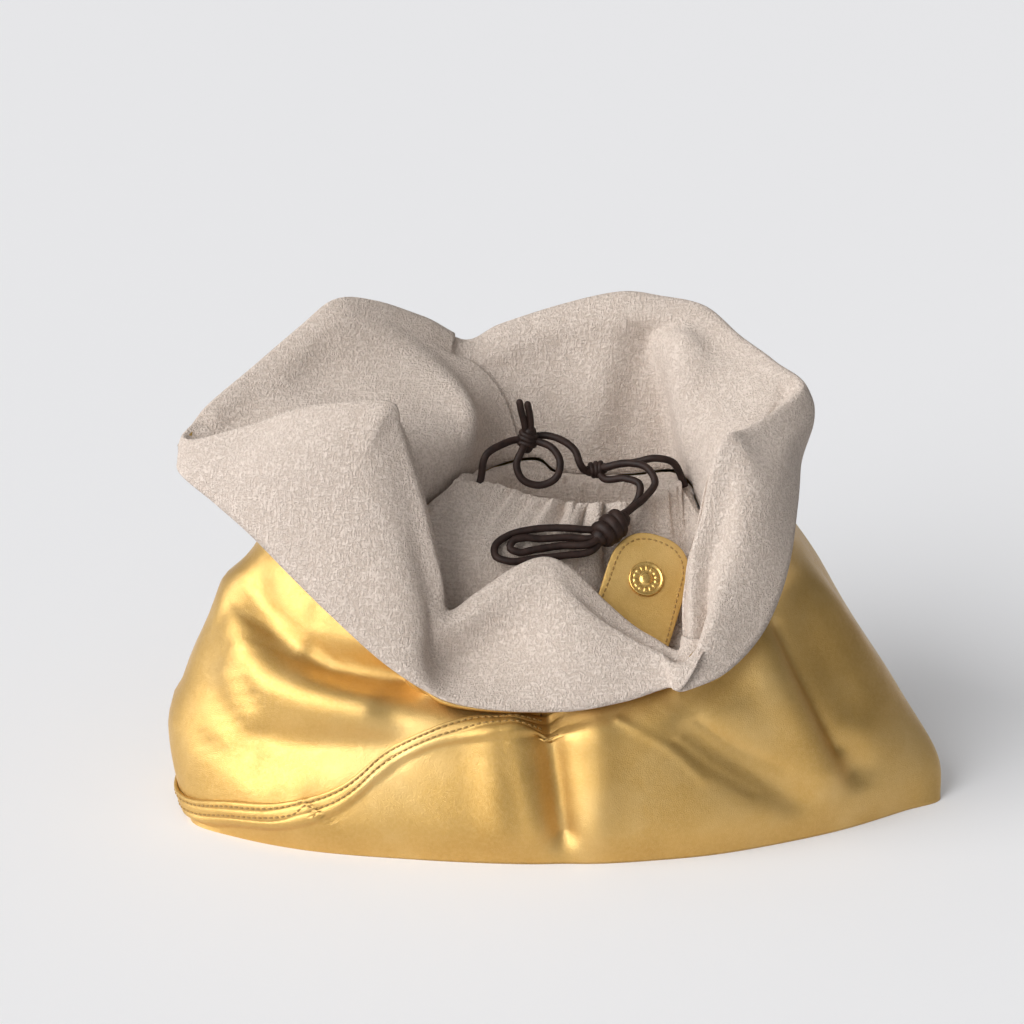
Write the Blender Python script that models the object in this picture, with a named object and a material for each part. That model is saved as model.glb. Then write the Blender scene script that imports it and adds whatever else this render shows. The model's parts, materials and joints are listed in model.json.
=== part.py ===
"""Slouched shoulder bag in gold leather, its top third folded out as a wide lining cuff.

Inside the cuff sits a drawstring pouch with a knotted leather cord and a snap tab.
Run it with: blender --background --python part.py
"""

import math

import bpy
import numpy as np

# Every length below is in millimetres. MM turns it into metres when a mesh is made.
MM = 0.001

# Driving sizes of the sheets and small pieces.
LEATHER = 2.0
LINING = 1.4
CLEARANCE = 0.4
CORD_DIAMETER = 4.0
GOLD_SHOWING_AT_HEM = 1.0
LAP_WIDTH = 11.0
LAP_RAMP = 5.0
ROOM_IN_CUFF = 6.0
ROOM_UNDER_CREST = 0.7
TWIST = 0.8

# How finely the rings are sampled: stations run round the bag.
STATIONS = 68

# A ring is a closed line round the bag. Each row is a station in degrees, then x, y and z.
# Station 0 is the right side, 90 the back, 180 the left and 270 the front.
CREST = [
    (3, 128, 8, 216),
    (16, 115, 32, 224),
    (30, 98, 52, 232),
    (44, 80, 68, 244),
    (58, 56, 78, 247),
    (72, 35, 83, 248),
    (87, 2, 85, 240),
    (102, -31, 82, 229),
    (113, -50, 78, 221),
    (124, -74, 73, 235),
    (134, -98, 67, 247),
    (144, -120, 60, 250),
    (153, -138, 50, 238),
    (162, -164, 34, 219),
    (171, -187, 16, 203),
    (176, -193, 9, 196.5),
    (180, -197, -3, 193.5),
    (184, -186, -14, 196),
    (187, -160, -22, 206),
    (193, -133, -34, 219),
    (198, -109, -42, 225),
    (203, -85, -46, 226),
    (208, -80, -47, 211),
    (214, -71, -51, 180),
    (221, -65, -56, 155),
    (228, -60, -60, 135),
    (235, -57, -62, 119),
    (242, -43, -58, 127),
    (252, -23, -52, 139),
    (262, -7, -48, 143),
    (272, 7, -50, 137),
    (282, 23, -58, 123),
    (294, 44, -70, 107),
    (308, 64, -80, 104),
    (312, 67, -76, 111),
    (316, 67, -67, 125),
    (321, 68, -57, 147),
    (327, 73, -49, 166),
    (333, 78, -42, 190),
    (339, 84, -36, 203),
    (348, 97, -24, 205),
    (356, 114, -8, 210),
]
HEM = [
    (-3, 127, -8, 176),
    (10, 130, 22, 180),
    (30, 108, 64, 180),
    (60, 58, 95, 180),
    (90, 0, 101, 178),
    (120, -76, 93, 177),
    (150, -150, 70, 178),
    (162, -176, 40, 180),
    (171, -195, 12, 180),
    (180, -199, -12, 177),
    (188, -178, -30, 165),
    (196, -159, -44, 153),
    (204, -138, -58, 136),
    (212, -117, -72, 120),
    (222, -89, -86, 99),
    (232, -66, -94, 87),
    (244, -41, -99, 81),
    (258, 0, -102, 80),
    (274, 30, -100, 84),
    (292, 54, -96, 90),
    (308, 66, -97, 90),
    (315, 82, -91, 95),
    (323, 99, -78, 106),
    (331, 110, -66, 120),
    (340, 119, -50, 142),
    (348, 124, -30, 166),
]
INNER_HIGH = [
    (3, 108, 2, 204),
    (16, 98, 20, 208),
    (30, 84, 38, 216),
    (44, 64, 56, 232),
    (50, 54, 66, 228),
    (58, 50, 72, 225),
    (72, 30, 68, 222),
    (87, 6, 70, 216),
    (102, -20, 70, 210),
    (113, -37, 68, 208),
    (124, -58, 60, 214),
    (134, -74, 50, 222),
    (144, -106, 42, 221),
    (153, -130, 34, 214),
    (162, -150, 20, 206),
    (171, -172, 8, 194),
    (180, -176, -6, 189),
    (187, -148, -15, 199),
    (193, -122, -24, 210),
    (198, -103, -30, 215),
    (203, -84, -34, 214),
    (208, -77, -37, 200),
    (214, -69, -42, 172),
    (221, -63, -47, 148),
    (235, -55, -55, 111),
    (252, -23, -43, 126),
    (262, -7, -39, 129),
    (272, 7, -48, 117),
    (283, 24, -57, 107),
    (294, 43, -64, 96),
    (308, 64, -75, 96),
    (316, 64, -58, 122),
    (327, 71, -42, 158),
    (333, 76, -34, 181),
    (339, 81, -28, 192),
    (348, 90, -18, 195),
    (356, 100, -8, 199),
]
INNER_MID = [
    (3, 88, -8, 190),
    (16, 82, 6, 190),
    (30, 74, 20, 190),
    (44, 63, 38, 190),
    (50, 60, 58, 192),
    (58, 46, 62, 193),
    (72, 24, 55, 192),
    (87, 8, 58, 190),
    (102, -8, 60, 190),
    (113, -24, 60, 194),
    (120, -36, 54, 196),
    (126, -45, 40, 197),
    (132, -44, 21, 199),
    (140, -52, 10, 190),
    (150, -66, 2, 190),
    (162, -84, -4, 194),
    (171, -96, -8, 195),
    (180, -100, -12, 196),
    (187, -96, -18, 196),
    (193, -89, -24, 196),
    (203, -76, -32, 188),
    (214, -68, -38, 158),
    (228, -59, -50, 124),
    (235, -54, -54, 108),
    (252, -24, -43, 121),
    (262, -8, -40, 125),
    (272, 6, -51, 109),
    (283, 25, -62, 98),
    (294, 42, -65, 91),
    (308, 63, -69, 93),
    (321, 68, -46, 134),
    (333, 75, -28, 168),
    (348, 82, -18, 182),
]
INNER_FOOT = [
    (3, 76, -4, 150),
    (16, 75, 6, 152),
    (30, 73, 16, 155),
    (44, 70, 27, 159),
    (50, 64, 46, 158),
    (58, 42, 48, 155),
    (72, 20, 46, 155),
    (87, 8, 46, 155),
    (102, -2, 47, 158),
    (113, -12, 49, 164),
    (120, -26, 46, 163),
    (126, -38, 36, 162),
    (132, -46, 22, 161),
    (140, -58, 6, 159),
    (150, -68, -8, 158),
    (162, -73, -16, 157),
    (180, -76, -23, 154),
    (193, -75, -28, 150),
    (203, -73, -33, 146),
    (214, -69, -38, 137),
    (228, -60, -48, 115),
    (235, -53, -52, 104),
    (252, -24, -44, 116),
    (262, -8, -41, 120),
    (272, 6, -53, 99),
    (283, 25, -63, 89),
    (294, 42, -64, 84),
    (302, 53, -64, 83),
    (308, 61, -61, 88),
    (321, 68, -42, 112),
    (333, 71, -28, 128),
    (348, 74, -16, 140),
]
FOOT = [
    (346, 205, -38, 0),
    (356, 198, -16, 0),
    (12, 176, 14, 0),
    (35, 130, 52, 0),
    (60, 70, 76, 0),
    (90, 0, 82, 0),
    (115, -65, 76, 0),
    (140, -125, 55, 0),
    (160, -165, 20, 0),
    (178, -186, -30, 0),
    (195, -191, -68, 0),
    (205, -166, -84, 0),
    (216, -134, -97, 0),
    (236, -71, -109, 0),
    (262, 0, -114, 0),
    (284, 46, -110, 0),
    (308, 98, -97, 0),
    (326, 153, -72, 0),
    (336, 184, -52, 0),
]
LOW = [
    (346, 204, -30, 18),
    (356, 201, -14, 20),
    (12, 183, 22, 20),
    (35, 136, 60, 20),
    (60, 74, 84, 20),
    (90, 0, 90, 20),
    (115, -70, 84, 20),
    (140, -133, 62, 20),
    (160, -178, 24, 20),
    (178, -200, -28, 20),
    (195, -196, -60, 14),
    (205, -172, -82, 16),
    (216, -138, -98, 18),
    (236, -72, -111, 20),
    (262, 0, -116, 20),
    (284, 46, -112, 20),
    (308, 98, -98, 20),
    (326, 151, -72, 20),
    (336, 183, -50, 18),
]
MID = [
    (346, 182, -28, 52),
    (356, 184, -4, 52),
    (12, 168, 30, 54),
    (35, 132, 62, 56),
    (60, 74, 87, 58),
    (90, 0, 93, 58),
    (115, -75, 87, 56),
    (140, -142, 64, 54),
    (160, -188, 26, 50),
    (178, -206, -18, 46),
    (195, -196, -52, 46),
    (205, -168, -74, 50),
    (216, -132, -90, 52),
    (236, -70, -103, 54),
    (262, 0, -108, 54),
    (284, 45, -105, 54),
    (308, 90, -93, 52),
    (326, 136, -73, 52),
    (336, 163, -53, 52),
]
SHOULDER = [
    (346, 149, -22, 104),
    (356, 148, 0, 106),
    (12, 142, 34, 112),
    (35, 112, 66, 114),
    (60, 66, 88, 114),
    (90, 0, 94, 114),
    (120, -78, 87, 112),
    (145, -140, 60, 108),
    (162, -170, 26, 106),
    (178, -182, -14, 104),
    (190, -180, -34, 100),
    (200, -164, -58, 92),
    (212, -132, -78, 82),
    (232, -74, -96, 72),
    (258, 0, -103, 68),
    (280, 40, -100, 70),
    (300, 68, -94, 72),
    (316, 96, -84, 76),
    (331, 124, -64, 86),
]
HIGH = [
    (-3, 117, -4, 158),
    (16, 112, 30, 163),
    (40, 84, 62, 164),
    (65, 45, 82, 164),
    (90, 0, 88, 164),
    (120, -70, 80, 162),
    (150, -125, 52, 156),
    (165, -146, 26, 150),
    (180, -156, -8, 148),
    (190, -150, -26, 144),
    (200, -138, -42, 132),
    (212, -110, -62, 106),
    (222, -85, -77, 90),
    (232, -64, -86, 80),
    (244, -40, -92, 73),
    (258, 0, -96, 72),
    (274, 29, -94, 76),
    (292, 52, -90, 80),
    (308, 68, -87, 82),
    (323, 95, -72, 96),
    (340, 114, -46, 130),
]

# How far the cuff bows out between its crest and its hem, and how tightly it turns at the crest.
# Each row is a station, then a length.
FALL_BOW = [
    (0, 6),
    (60, 10),
    (120, 10),
    (165, 4),
    (173, 1.5),
    (182, 1.5),
    (190, 6),
    (210, 6),
    (225, 2),
    (236, -12),
    (248, -9),
    (262, 3),
    (280, 6),
    (300, 5),
    (320, 7),
    (345, 7),
]
CREST_TURN = [
    (0, 8),
    (60, 10),
    (120, 9),
    (168, 5.5),
    (180, 4.5),
    (194, 6),
    (203, 6),
    (235, 6),
    (262, 8),
    (290, 7.5),
    (308, 6),
    (320, 7),
    (335, 7),
]

# The gap between the lining and the leather at each station.
SHEET_GAP = [
    (90, 0.8),
    (130, 0.8),
    (150, 0.8),
    (163, 1.0),
    (172, 1.6),
    (180, 2.8),
    (186, 2.2),
    (195, 1.3),
    (205, 1.0),
    (215, 0.8),
    (230, 1.2),
    (240, 1.3),
    (255, 0.8),
    (280, 0.9),
    (290, 1.7),
    (300, 2.8),
    (310, 2.0),
    (318, 2.0),
    (330, 1.0),
    (345, 0.8),
]

# Colour, roughness and metallic value of each material.
GOLD = ((0.60, 0.36, 0.10), 0.38, 0.75)
BEIGE = ((0.56, 0.47, 0.41), 0.9, 0.0)
BROWN = ((0.035, 0.022, 0.018), 0.5, 0.0)
BRASS = ((0.72, 0.47, 0.16), 0.3, 1.0)


def clear_scene():
    for obj in list(bpy.data.objects):
        bpy.data.objects.remove(obj, do_unlink=True)


def material(name, look):
    colour, roughness, metallic = look
    made = bpy.data.materials.new(name)
    made.use_nodes = True
    shader = made.node_tree.nodes["Principled BSDF"]
    shader.inputs["Base Color"].default_value = (*colour, 1)
    shader.inputs["Roughness"].default_value = roughness
    shader.inputs["Metallic"].default_value = metallic
    made.diffuse_color = (*colour, 1)
    return made


def smooth(knots, values, at):
    """The smooth curve through values at knots, read at the places in at."""
    steps = np.diff(knots)[:, None]
    slopes = np.diff(values, axis=0) / steps
    inner = (slopes[:-1] * steps[1:] + slopes[1:] * steps[:-1]) / (steps[:-1] + steps[1:])
    tangents = np.concatenate([slopes[:1], inner, slopes[-1:]])
    index = np.clip(np.searchsorted(knots, at, side="right") - 1, 0, len(steps) - 1)
    step = steps[index]
    f = (at - knots[index])[:, None] / step
    start = (2 * f**3 - 3 * f**2 + 1) * values[index] + (f**3 - 2 * f**2 + f) * step * tangents[index]
    end = (3 * f**2 - 2 * f**3) * values[index + 1] + (f**3 - f**2) * step * tangents[index + 1]
    return start + end


def ring(rows, stations):
    """A closed smooth ring through rows of (station, values), read at stations in degrees."""
    table = np.array(sorted((row[0] % 360, *row[1:]) for row in rows), float)
    before = table[-3:].copy()
    before[:, 0] -= 360
    after = table[:3].copy()
    after[:, 0] += 360
    table = np.concatenate([before, table, after])
    return smooth(table[:, 0], table[:, 1:], np.mod(stations, 360))


def loft(rings, rows):
    """Rows of a surface through rings. A row of 1.5 lies half way from rings[1] to rings[2]."""
    rings = np.array(rings)
    surface = np.empty((len(rows), rings.shape[1], 3))
    for k in range(rings.shape[1]):
        steps = np.sqrt(np.linalg.norm(np.diff(rings[:, k], axis=0), axis=1) + 0.01)
        knots = np.concatenate([[0], np.cumsum(steps)])
        surface[:, k] = smooth(knots, rings[:, k], np.interp(rows, np.arange(len(rings)), knots))
    return surface


def unit(vectors):
    return vectors / np.maximum(np.linalg.norm(vectors, axis=-1, keepdims=True), 1e-9)


def faces_out(grid):
    """Unit normals of a grid of rows by stations that closes on itself round the bag."""
    across = np.roll(grid, -1, axis=1) - np.roll(grid, 1, axis=1)
    return unit(np.cross(across, np.gradient(grid, axis=0)))


def add_mesh(name, points, faces, look):
    mesh = bpy.data.meshes.new(name)
    mesh.from_pydata([tuple(point) for point in np.asarray(points) * MM], [], faces)
    mesh.materials.append(look)
    for face in mesh.polygons:
        face.use_smooth = True
    obj = bpy.data.objects.new(name, mesh)
    bpy.context.scene.collection.objects.link(obj)
    return obj


def add_closed(name, points, faces, look):
    """A mesh object of the points that the faces use."""
    used = sorted({corner for face in faces for corner in face})
    index = {corner: k for k, corner in enumerate(used)}
    return add_mesh(name, points[used], [tuple(index[c] for c in face) for face in faces], look)


def grid_faces(rows, columns, cells):
    """Two triangles for each cell of a grid that closes on itself, where cells is True."""
    faces = []
    for i, j in zip(*np.nonzero(cells)):
        a = int(i * columns + j)
        b = int(i * columns + (j + 1) % columns)
        faces += [(a, b, b + columns), (a, b + columns, a + columns)]
    return faces


def edges_of(faces):
    return {(face[k], face[(k + 1) % 3]) for face in faces for k in range(3)}


def fan(row, columns, edges, middle):
    """Triangles from each edge of a row to its middle point."""
    faces = []
    for j in range(columns):
        a = row * columns + j
        b = row * columns + (j + 1) % columns
        faces.append((b, a, middle) if (a, b) in edges else (a, b, middle))
    return faces


def add_sheet(name, front, back, cells, look, cap=None):
    """A closed sheet between two grids of the same size. A fan closes row cap on both sides."""
    rows, columns = front.shape[:2]
    points = np.concatenate([front.reshape(-1, 3), back.reshape(-1, 3)])
    count = rows * columns
    faces = grid_faces(rows, columns, cells)
    back_faces = [tuple(count + corner for corner in face[::-1]) for face in faces]
    if cap is not None:
        points = np.concatenate([points, [front[cap].mean(axis=0), back[cap].mean(axis=0)]])
        closing = fan(cap, columns, edges_of(faces), 2 * count)
        faces += closing
        shifted = [[count + corner for corner in face[::-1]] for face in closing]
        back_faces += [tuple(2 * count + 1 if c == 3 * count else c for c in face) for face in shifted]
    edges = edges_of(faces)
    rim = sorted(edge for edge in edges if edge[::-1] not in edges)
    sides = []
    for a, b in rim:
        sides += [(b, a, count + a), (b, count + a, count + b)]
    return add_closed(name, points, faces + back_faces + sides, look)


def add_skin(name, grid, look):
    """A solid whose skin is a grid of rows, closed by a fan at its first and last rows."""
    rows, columns = grid.shape[:2]
    count = rows * columns
    points = np.concatenate([grid.reshape(-1, 3), [grid[0].mean(axis=0), grid[-1].mean(axis=0)]])
    faces = grid_faces(rows, columns, np.ones((rows - 1, columns), bool))
    edges = edges_of(faces)
    faces += fan(0, columns, edges, count) + fan(rows - 1, columns, edges, count + 1)
    return add_closed(name, points, faces, look)


# The folds of the gold leather, on its front. A point is given as it is seen from the front by
# an eye raised 20 degrees: how far right it lies, then how far up the picture.
EYE_RISE = math.radians(20)
# A row is how far it stands out, its half width and the path that it runs along.
RIDGES = [
    # The roll at the left, under the cuff.
    (5, 10, [(-171, 103), (-167, 76), (-156, 57), (-131, 46), (-100, 40)]),
    # The hollow inside that roll.
    (-5, 9, [(-162, 98), (-148, 82), (-132, 70), (-104, 60), (-77, 56)]),
    # The hollow under the roll.
    (-4, 9, [(-160, 25), (-132, 21), (-86, 22)]),
    # The pleat that opens down from the middle of the hem.
    (-6, 10, [(-7, 38), (-2, 5), (2, -24)]),
    # The swell left of that pleat.
    (2.5, 10, [(-35, 25), (-30, -20)]),
    # The crease down the right, and the swell beside it.
    (-5, 9, [(112, 92), (126, 64), (142, 30), (156, 7)]),
    (4, 13, [(105, 64), (124, 32), (136, 6)]),
    # The hollow under that swell.
    (-4, 10, [(68, 28), (96, 10), (122, -7)]),
    # The hollow down the right end.
    (-3.5, 9, [(123, 102), (136, 73), (153, 40)]),
]
# A row is how far it drops, how sharply, how far that reaches, and its path.
LEDGES = [
    # The crease across the left lobe.
    (2.5, 6, 18, [(-194, 41), (-180, 34), (-164, 22), (-151, 8), (-137, -3)]),
]


def seen(points):
    up = points[..., 2] * math.cos(EYE_RISE) + points[..., 1] * math.sin(EYE_RISE)
    return np.stack([points[..., 0], up], axis=-1)


def from_path(places, path):
    """Distance of each place to a path, signed: positive to the left of its direction."""
    knots = np.arange(len(path), dtype=float)
    line = smooth(knots, np.array(path, float), np.linspace(0, len(path) - 1, 8 * len(path)))
    nearest = np.full(places.shape[:-1], 1e9)
    for start, end in zip(line[:-1], line[1:]):
        run = end - start
        off = places - start
        along = np.clip((off @ run) / (run @ run), 0, 1)
        gap = off - along[..., None] * run
        distance = np.linalg.norm(gap, axis=-1)
        side = np.sign(run[0] * off[..., 1] - run[1] * off[..., 0])
        nearest = np.where(distance < np.abs(nearest), distance * np.where(side == 0, 1, side), nearest)
    return nearest


def fold_height(points, ridges, ledges):
    """How far folds push a surface out. A ledge drops sharply to the left of its path."""
    places = seen(points)
    height = np.zeros(points.shape[:-1])
    for rise, width, path in ridges:
        height += rise * np.exp(-((from_path(places, path) / width) ** 2))
    for rise, width, reach, path in ledges:
        distance = from_path(places, path)
        height -= rise * np.tanh(distance / width) * np.exp(-((distance / reach) ** 2))
    return height


def profile(rows, stations):
    return ring(rows, stations)[:, 0]


def outward(stations):
    """The level direction from the mouth to the outside at each station."""
    path = ring(HEM, stations) - ring(INNER_FOOT, stations)
    path[:, 2] = 0
    return unit(path)


def lining_surface(stations, inner_rows, fall_rows):
    """The seen face of the lining: up the inner wall, over the crest and down to the hem."""
    crest = ring(CREST, stations)
    hem = ring(HEM, stations)
    inner = [ring(rows, stations) for rows in (INNER_FOOT, INNER_MID, INNER_HIGH)]
    tangent = unit(np.roll(crest, -1, axis=0) - np.roll(crest, 1, axis=0))
    top = -unit(hem - crest) - unit(inner[0] - crest)
    top = unit(top - np.sum(top * tangent, axis=1, keepdims=True) * tangent)
    turn = profile(CREST_TURN, stations)[:, None]
    across = outward(stations)
    across = unit(across - np.sum(across * top, axis=1, keepdims=True) * top)
    out = unit(np.cross(tangent, top) + TWIST * across)
    out = unit(np.roll(out, 1, axis=0) + 2 * out + np.roll(out, -1, axis=0)) * turn
    drop = top * turn
    fall = crest + 0.5 * (hem - crest)
    square = unit(np.cross(np.roll(crest, -1, axis=0) - np.roll(crest, 1, axis=0), hem - crest))
    fall = fall - square * profile(FALL_BOW, stations)[:, None]
    rings = [*inner, crest - out - drop, crest, crest + out - drop, fall, hem]
    return loft(rings, [*inner_rows, *fall_rows])


# Rows of the sheets. A whole number is one of the rings, and a half lies between two of them.
INNER_ROWS = (0, 1, 2)
CREST_ROWS = (3, 4, 5)
FALL_ROWS = (5.6, 6.3, 7)
WALL_ROWS_BELOW_SEAM = (0, 0.2, 0.45, 0.72, 1)
WALL_ROWS_ABOVE_SEAM = (0.25, 0.5, 0.75)

# Where the lapped seam runs: the station, then how high on the wall, in rings from the foot.
SEAM = [
    (118, 4.2),
    (130, 3.0),
    (150, 1.9),
    (170, 1.1),
    (187, 0.95),
    (195, 0.95),
    (205, 1.15),
    (216, 1.3),
    (226, 1.75),
    (234, 2.7),
    (243, 3.8),
    (252, 4.2),
    (300, 3.2),
    (0, 2.6),
    (60, 3.2),
]
SEAM_START = 115
SEAM_END = 250


def wall_rings(stations, turned, faces):
    """The rings of the leather's gold face, from the foot to the row under the crest."""
    rings = [ring(rows, stations) for rows in (FOOT, LOW, MID, SHOULDER, HIGH)]
    half_way = len(CREST_ROWS) + 1
    middle = turned[half_way] - faces[half_way] * ROOM_IN_CUFF
    return [*rings, middle, turned[0]]


def leather_surface(stations, lining):
    """The gold face of the leather: foot, wall, then inside the fold of the cuff to the hem.

    lining holds the lining's rows from under the crest to the hem, and faces its unit normals.
    """
    rows, faces = lining
    inset = LINING + LEATHER + profile(SHEET_GAP, stations)[:, None]
    turned = rows - faces * inset
    turned[0] -= faces[0] * ROOM_UNDER_CREST
    down = unit(turned[-1] - turned[-2])
    turned[-1] += down * GOLD_SHOWING_AT_HEM
    rings = np.array(wall_rings(stations, turned, faces))
    seam = profile(SEAM, stations)
    columns = []
    for k, high in enumerate(seam):
        rise = np.linalg.norm(np.diff(rings[:, k], axis=0), axis=1)
        scale = rise[min(int(high), 4)]
        margin = high - LAP_WIDTH / scale
        ramp = max(margin - LAP_RAMP / scale, 0.15)
        margin = max(margin, ramp + 0.05)
        below = ramp * np.array(WALL_ROWS_BELOW_SEAM)
        above = high + (6 - high) * np.array(WALL_ROWS_ABOVE_SEAM)
        read = np.concatenate([below, [margin, high], above])
        columns.append(loft(rings[:, k : k + 1], read)[:, 0])
    wall = np.array(columns).transpose(1, 0, 2)
    wall += faces_out(wall) * (wall_folds(wall) * front_only(wall))[..., None]
    wall[:, :, 2] = np.maximum(wall[:, :, 2], 0)
    return np.concatenate([wall, turned])


def wall_folds(wall):
    return fold_height(wall, RIDGES, LEDGES)


def front_only(wall):
    """1 on the front of the bag, falling to 0 behind it."""
    return 0.5 - 0.5 * np.tanh((wall[..., 1] - 10) / 15)


def span(columns, start, end):
    """Which columns of the rings have their station between start and end."""
    stations = np.arange(columns) * 360 / columns
    return (stations - start) % 360 < (end - start) % 360


def add_leather(stations, lining, gold):
    face = leather_surface(stations, lining)
    back = face - faces_out(face) * LEATHER
    back[0] = face[0] - unit(faces_out(face)[0] * [1, 1, 0]) * LEATHER
    back[0, :, 2] = LEATHER
    raise_by = LEATHER + CLEARANCE
    edge = len(WALL_ROWS_BELOW_SEAM) + 1
    columns = len(stations)
    side = span(columns, SEAM_START, SEAM_END)
    cells = np.ones((len(face) - 1, columns), bool)
    cells[edge:, side] = False
    lifted = side | np.roll(side, 1)
    lap = np.zeros(face.shape[:2])
    lap[edge - 1 : edge + 1] = np.where(lifted, raise_by, 0)
    lift = faces_out(face) * lap[..., None]
    add_sheet("lower_panel", face + lift, back + lift, cells, gold, cap=0)
    inside = np.zeros_like(cells)
    inside[edge - 1 :, side] = True
    first = int(np.nonzero(side & ~np.roll(side, 1))[0][0])
    last = int(np.nonzero(~side & np.roll(side, 1))[0][0])
    share = 0.06
    for grid in (face, back):
        grid[:, first] += share * (grid[:, first + 1] - grid[:, first])
        grid[:, last] += share * (grid[:, last - 1] - grid[:, last])
        grid[edge - 1] += share * (grid[edge] - grid[edge - 1])
    add_sheet("side_panel", face, back, inside, gold)


# The stations that each lining flap runs between, and how far, in degrees, the front one lies over.
FLAP_OVERLAP = 6
FLAP_RAMP = 10
EDGE_LIFT = 1.0
FRONT_FLAP = (113, 305)
BACK_FLAP = (FRONT_FLAP[1] - FLAP_OVERLAP, FRONT_FLAP[0] + FLAP_OVERLAP)


def apart(stations, place):
    """How many degrees each station lies from a place."""
    return np.abs((stations - place + 180) % 360 - 180)


def add_lining(stations, lining, faces, beige):
    """The front flap lies over the back flap where they meet, at the back left and the front right."""
    columns = len(stations)
    start, end = FRONT_FLAP
    near = np.minimum(apart(stations, start), apart(stations, end))
    beyond = np.maximum(near - FLAP_OVERLAP, 0)
    share = np.exp(-((beyond / FLAP_RAMP) ** 2))[None, :, None]
    under = lining + faces * share * EDGE_LIFT
    over = under + faces * share * (LINING + CLEARANCE)
    for name, face, (a, b) in (
        ("front_lining_flap", over, FRONT_FLAP),
        ("back_lining_flap", under, BACK_FLAP),
    ):
        cells = np.zeros((len(face) - 1, columns), bool)
        cells[:, span(columns, a, b)] = True
        add_sheet(name, face - faces * LINING, face, cells, beige)


# The gathered pouch: its rim at the neck, and its slope half way to the lining.
NECK = [
    (132, -38, 25, 166),
    (140, -46, 14, 168),
    (150, -52, 6, 169),
    (165, -54, 0, 169),
    (180, -50, -2, 168),
    (200, -44, 0, 167),
    (215, -34, 4, 165),
    (228, -24, 4, 162),
    (240, -14, 2, 159),
    (252, -4, 0, 158),
    (265, 8, -3, 157),
    (278, 22, -4, 157),
    (292, 36, -3, 157),
    (305, 48, 0, 158),
    (318, 58, 6, 160),
    (333, 66, 14, 162),
    (350, 64, 19, 162),
    (10, 62, 27, 161),
    (35, 52, 35, 160),
    (60, 36, 38, 157),
    (80, 16, 38, 156),
    (100, -4, 40, 160),
    (116, -26, 38, 163),
]
SLOPE = [
    (132, -41, 24, 164),
    (140, -52, 9, 163),
    (150, -61, -3, 162),
    (165, -66, -10, 161),
    (180, -67, -14, 160),
    (200, -63, -18, 160),
    (214, -54, -22, 154),
    (228, -41, -28, 147),
    (240, -30, -29, 145),
    (252, -17, -29, 145),
    (262, -4, -29, 145),
    (272, 10, -29, 143),
    (277, 18, -28, 134),
    (283, 26, -28, 126),
    (294, 42, -31, 117),
    (305, 52, -34, 114),
    (318, 62, -23, 127),
    (333, 68, -9, 139),
    (350, 70, 4, 153),
    (10, 68, 13, 156),
    (40, 61, 30, 158),
    (60, 40, 43, 156),
    (80, 16, 43, 156),
    (100, -3, 44, 158),
    (116, -23, 41, 163),
]
POUCH_STATIONS = 120
POUCH_TAPER = 0.13
POUCH_MIDDLE = (0.0, -15.0)
SHOULDER_DROP = 1.9
MOUTH_DEPTH = 22.0
PLEATS = 30
# How deep the pleats are at each station.
PLEAT_DEPTH = [
    (20, 0.5),
    (90, 0.4),
    (125, 0.4),
    (150, 1.0),
    (200, 1.8),
    (262, 1.8),
    (300, 1.0),
    (335, 0.8),
]


def towards(points, middle, share):
    """Points moved level towards a middle by a share of the way."""
    moved = points.copy()
    moved[:, :2] += share * (np.array(middle) - moved[:, :2])
    return moved


def pouch_surface(stations, rows):
    neck = ring(NECK, stations)
    slope = ring(SLOPE, stations)
    foot = ring(INNER_FOOT, stations) - [0, 0, SHOULDER_DROP]
    under = foot + outward(stations) * 4 - [0, 0, 7]
    bottom = towards(ring(FOOT, stations), POUCH_MIDDLE, 1.6 * POUCH_TAPER)
    bottom[:, 2] = LEATHER + CLEARANCE
    low = towards(ring(LOW, stations), POUCH_MIDDLE, POUCH_TAPER)
    middle = towards(ring(MID, stations), POUCH_MIDDLE, 2 * POUCH_TAPER)
    gather = slope + 0.75 * (neck - slope)
    centre = neck.mean(axis=0)
    inside = neck + 0.12 * (centre - neck) - [0, 0, 4]
    mouth = neck + 0.3 * (centre - neck) - [0, 0, MOUTH_DEPTH]
    surface = loft([bottom, low, middle, under, foot, slope, gather, neck, inside, mouth], rows)
    share = smooth(np.array([4, 5, 6, 7, 8, 9.0]), np.array([0, 0.25, 1, 1, 0.6, 0.0])[:, None], rows)
    share = np.where(np.array(rows) < 4, 0, share[:, 0])
    turn = np.radians(stations)
    wave = np.sin(PLEATS * turn + 1.3 * np.sin(3 * turn) + 0.8 * np.sin(7 * turn))
    push = share[:, None] * (profile(PLEAT_DEPTH, stations) * wave)[None, :]
    away = unit(neck - centre)
    away[:, 2] = 0.5
    return surface + unit(away) * push[..., None]


POUCH_ROWS = (0, 3, 4, 5, 6, 7, 9)


def between_rows(grid, steps=6):
    """Points on the lines from each row of a grid to the next."""
    shares = np.arange(steps)[:, None, None, None] / steps
    return (grid[None, :-1] * (1 - shares) + grid[None, 1:] * shares).reshape(-1, 3)


# The closure tab: where its end lies, which way it runs and which way its width lies.
TAB_TOP = (52.3, -16.2, 140)
TAB_ALONG = (-0.30, -0.58, -0.75)
TAB_ACROSS = (0.99, 0.12, 0.04)
TAB_WIDTH = 43.0
TAB_LENGTH = 60.0
TAB_ROUND = 24.0
TAB_CURVE = 2.4
TAB_LAYER = 1.3
TAB_EDGE = 0.4
SNAP_FROM_END = 25.0
SNAP_RADIUS = 9.2
SNAP_DASHES = 14
POST_RADIUS = 2.0
SEAT_GAP = 0.3
TAB_SIDES = 30


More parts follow.
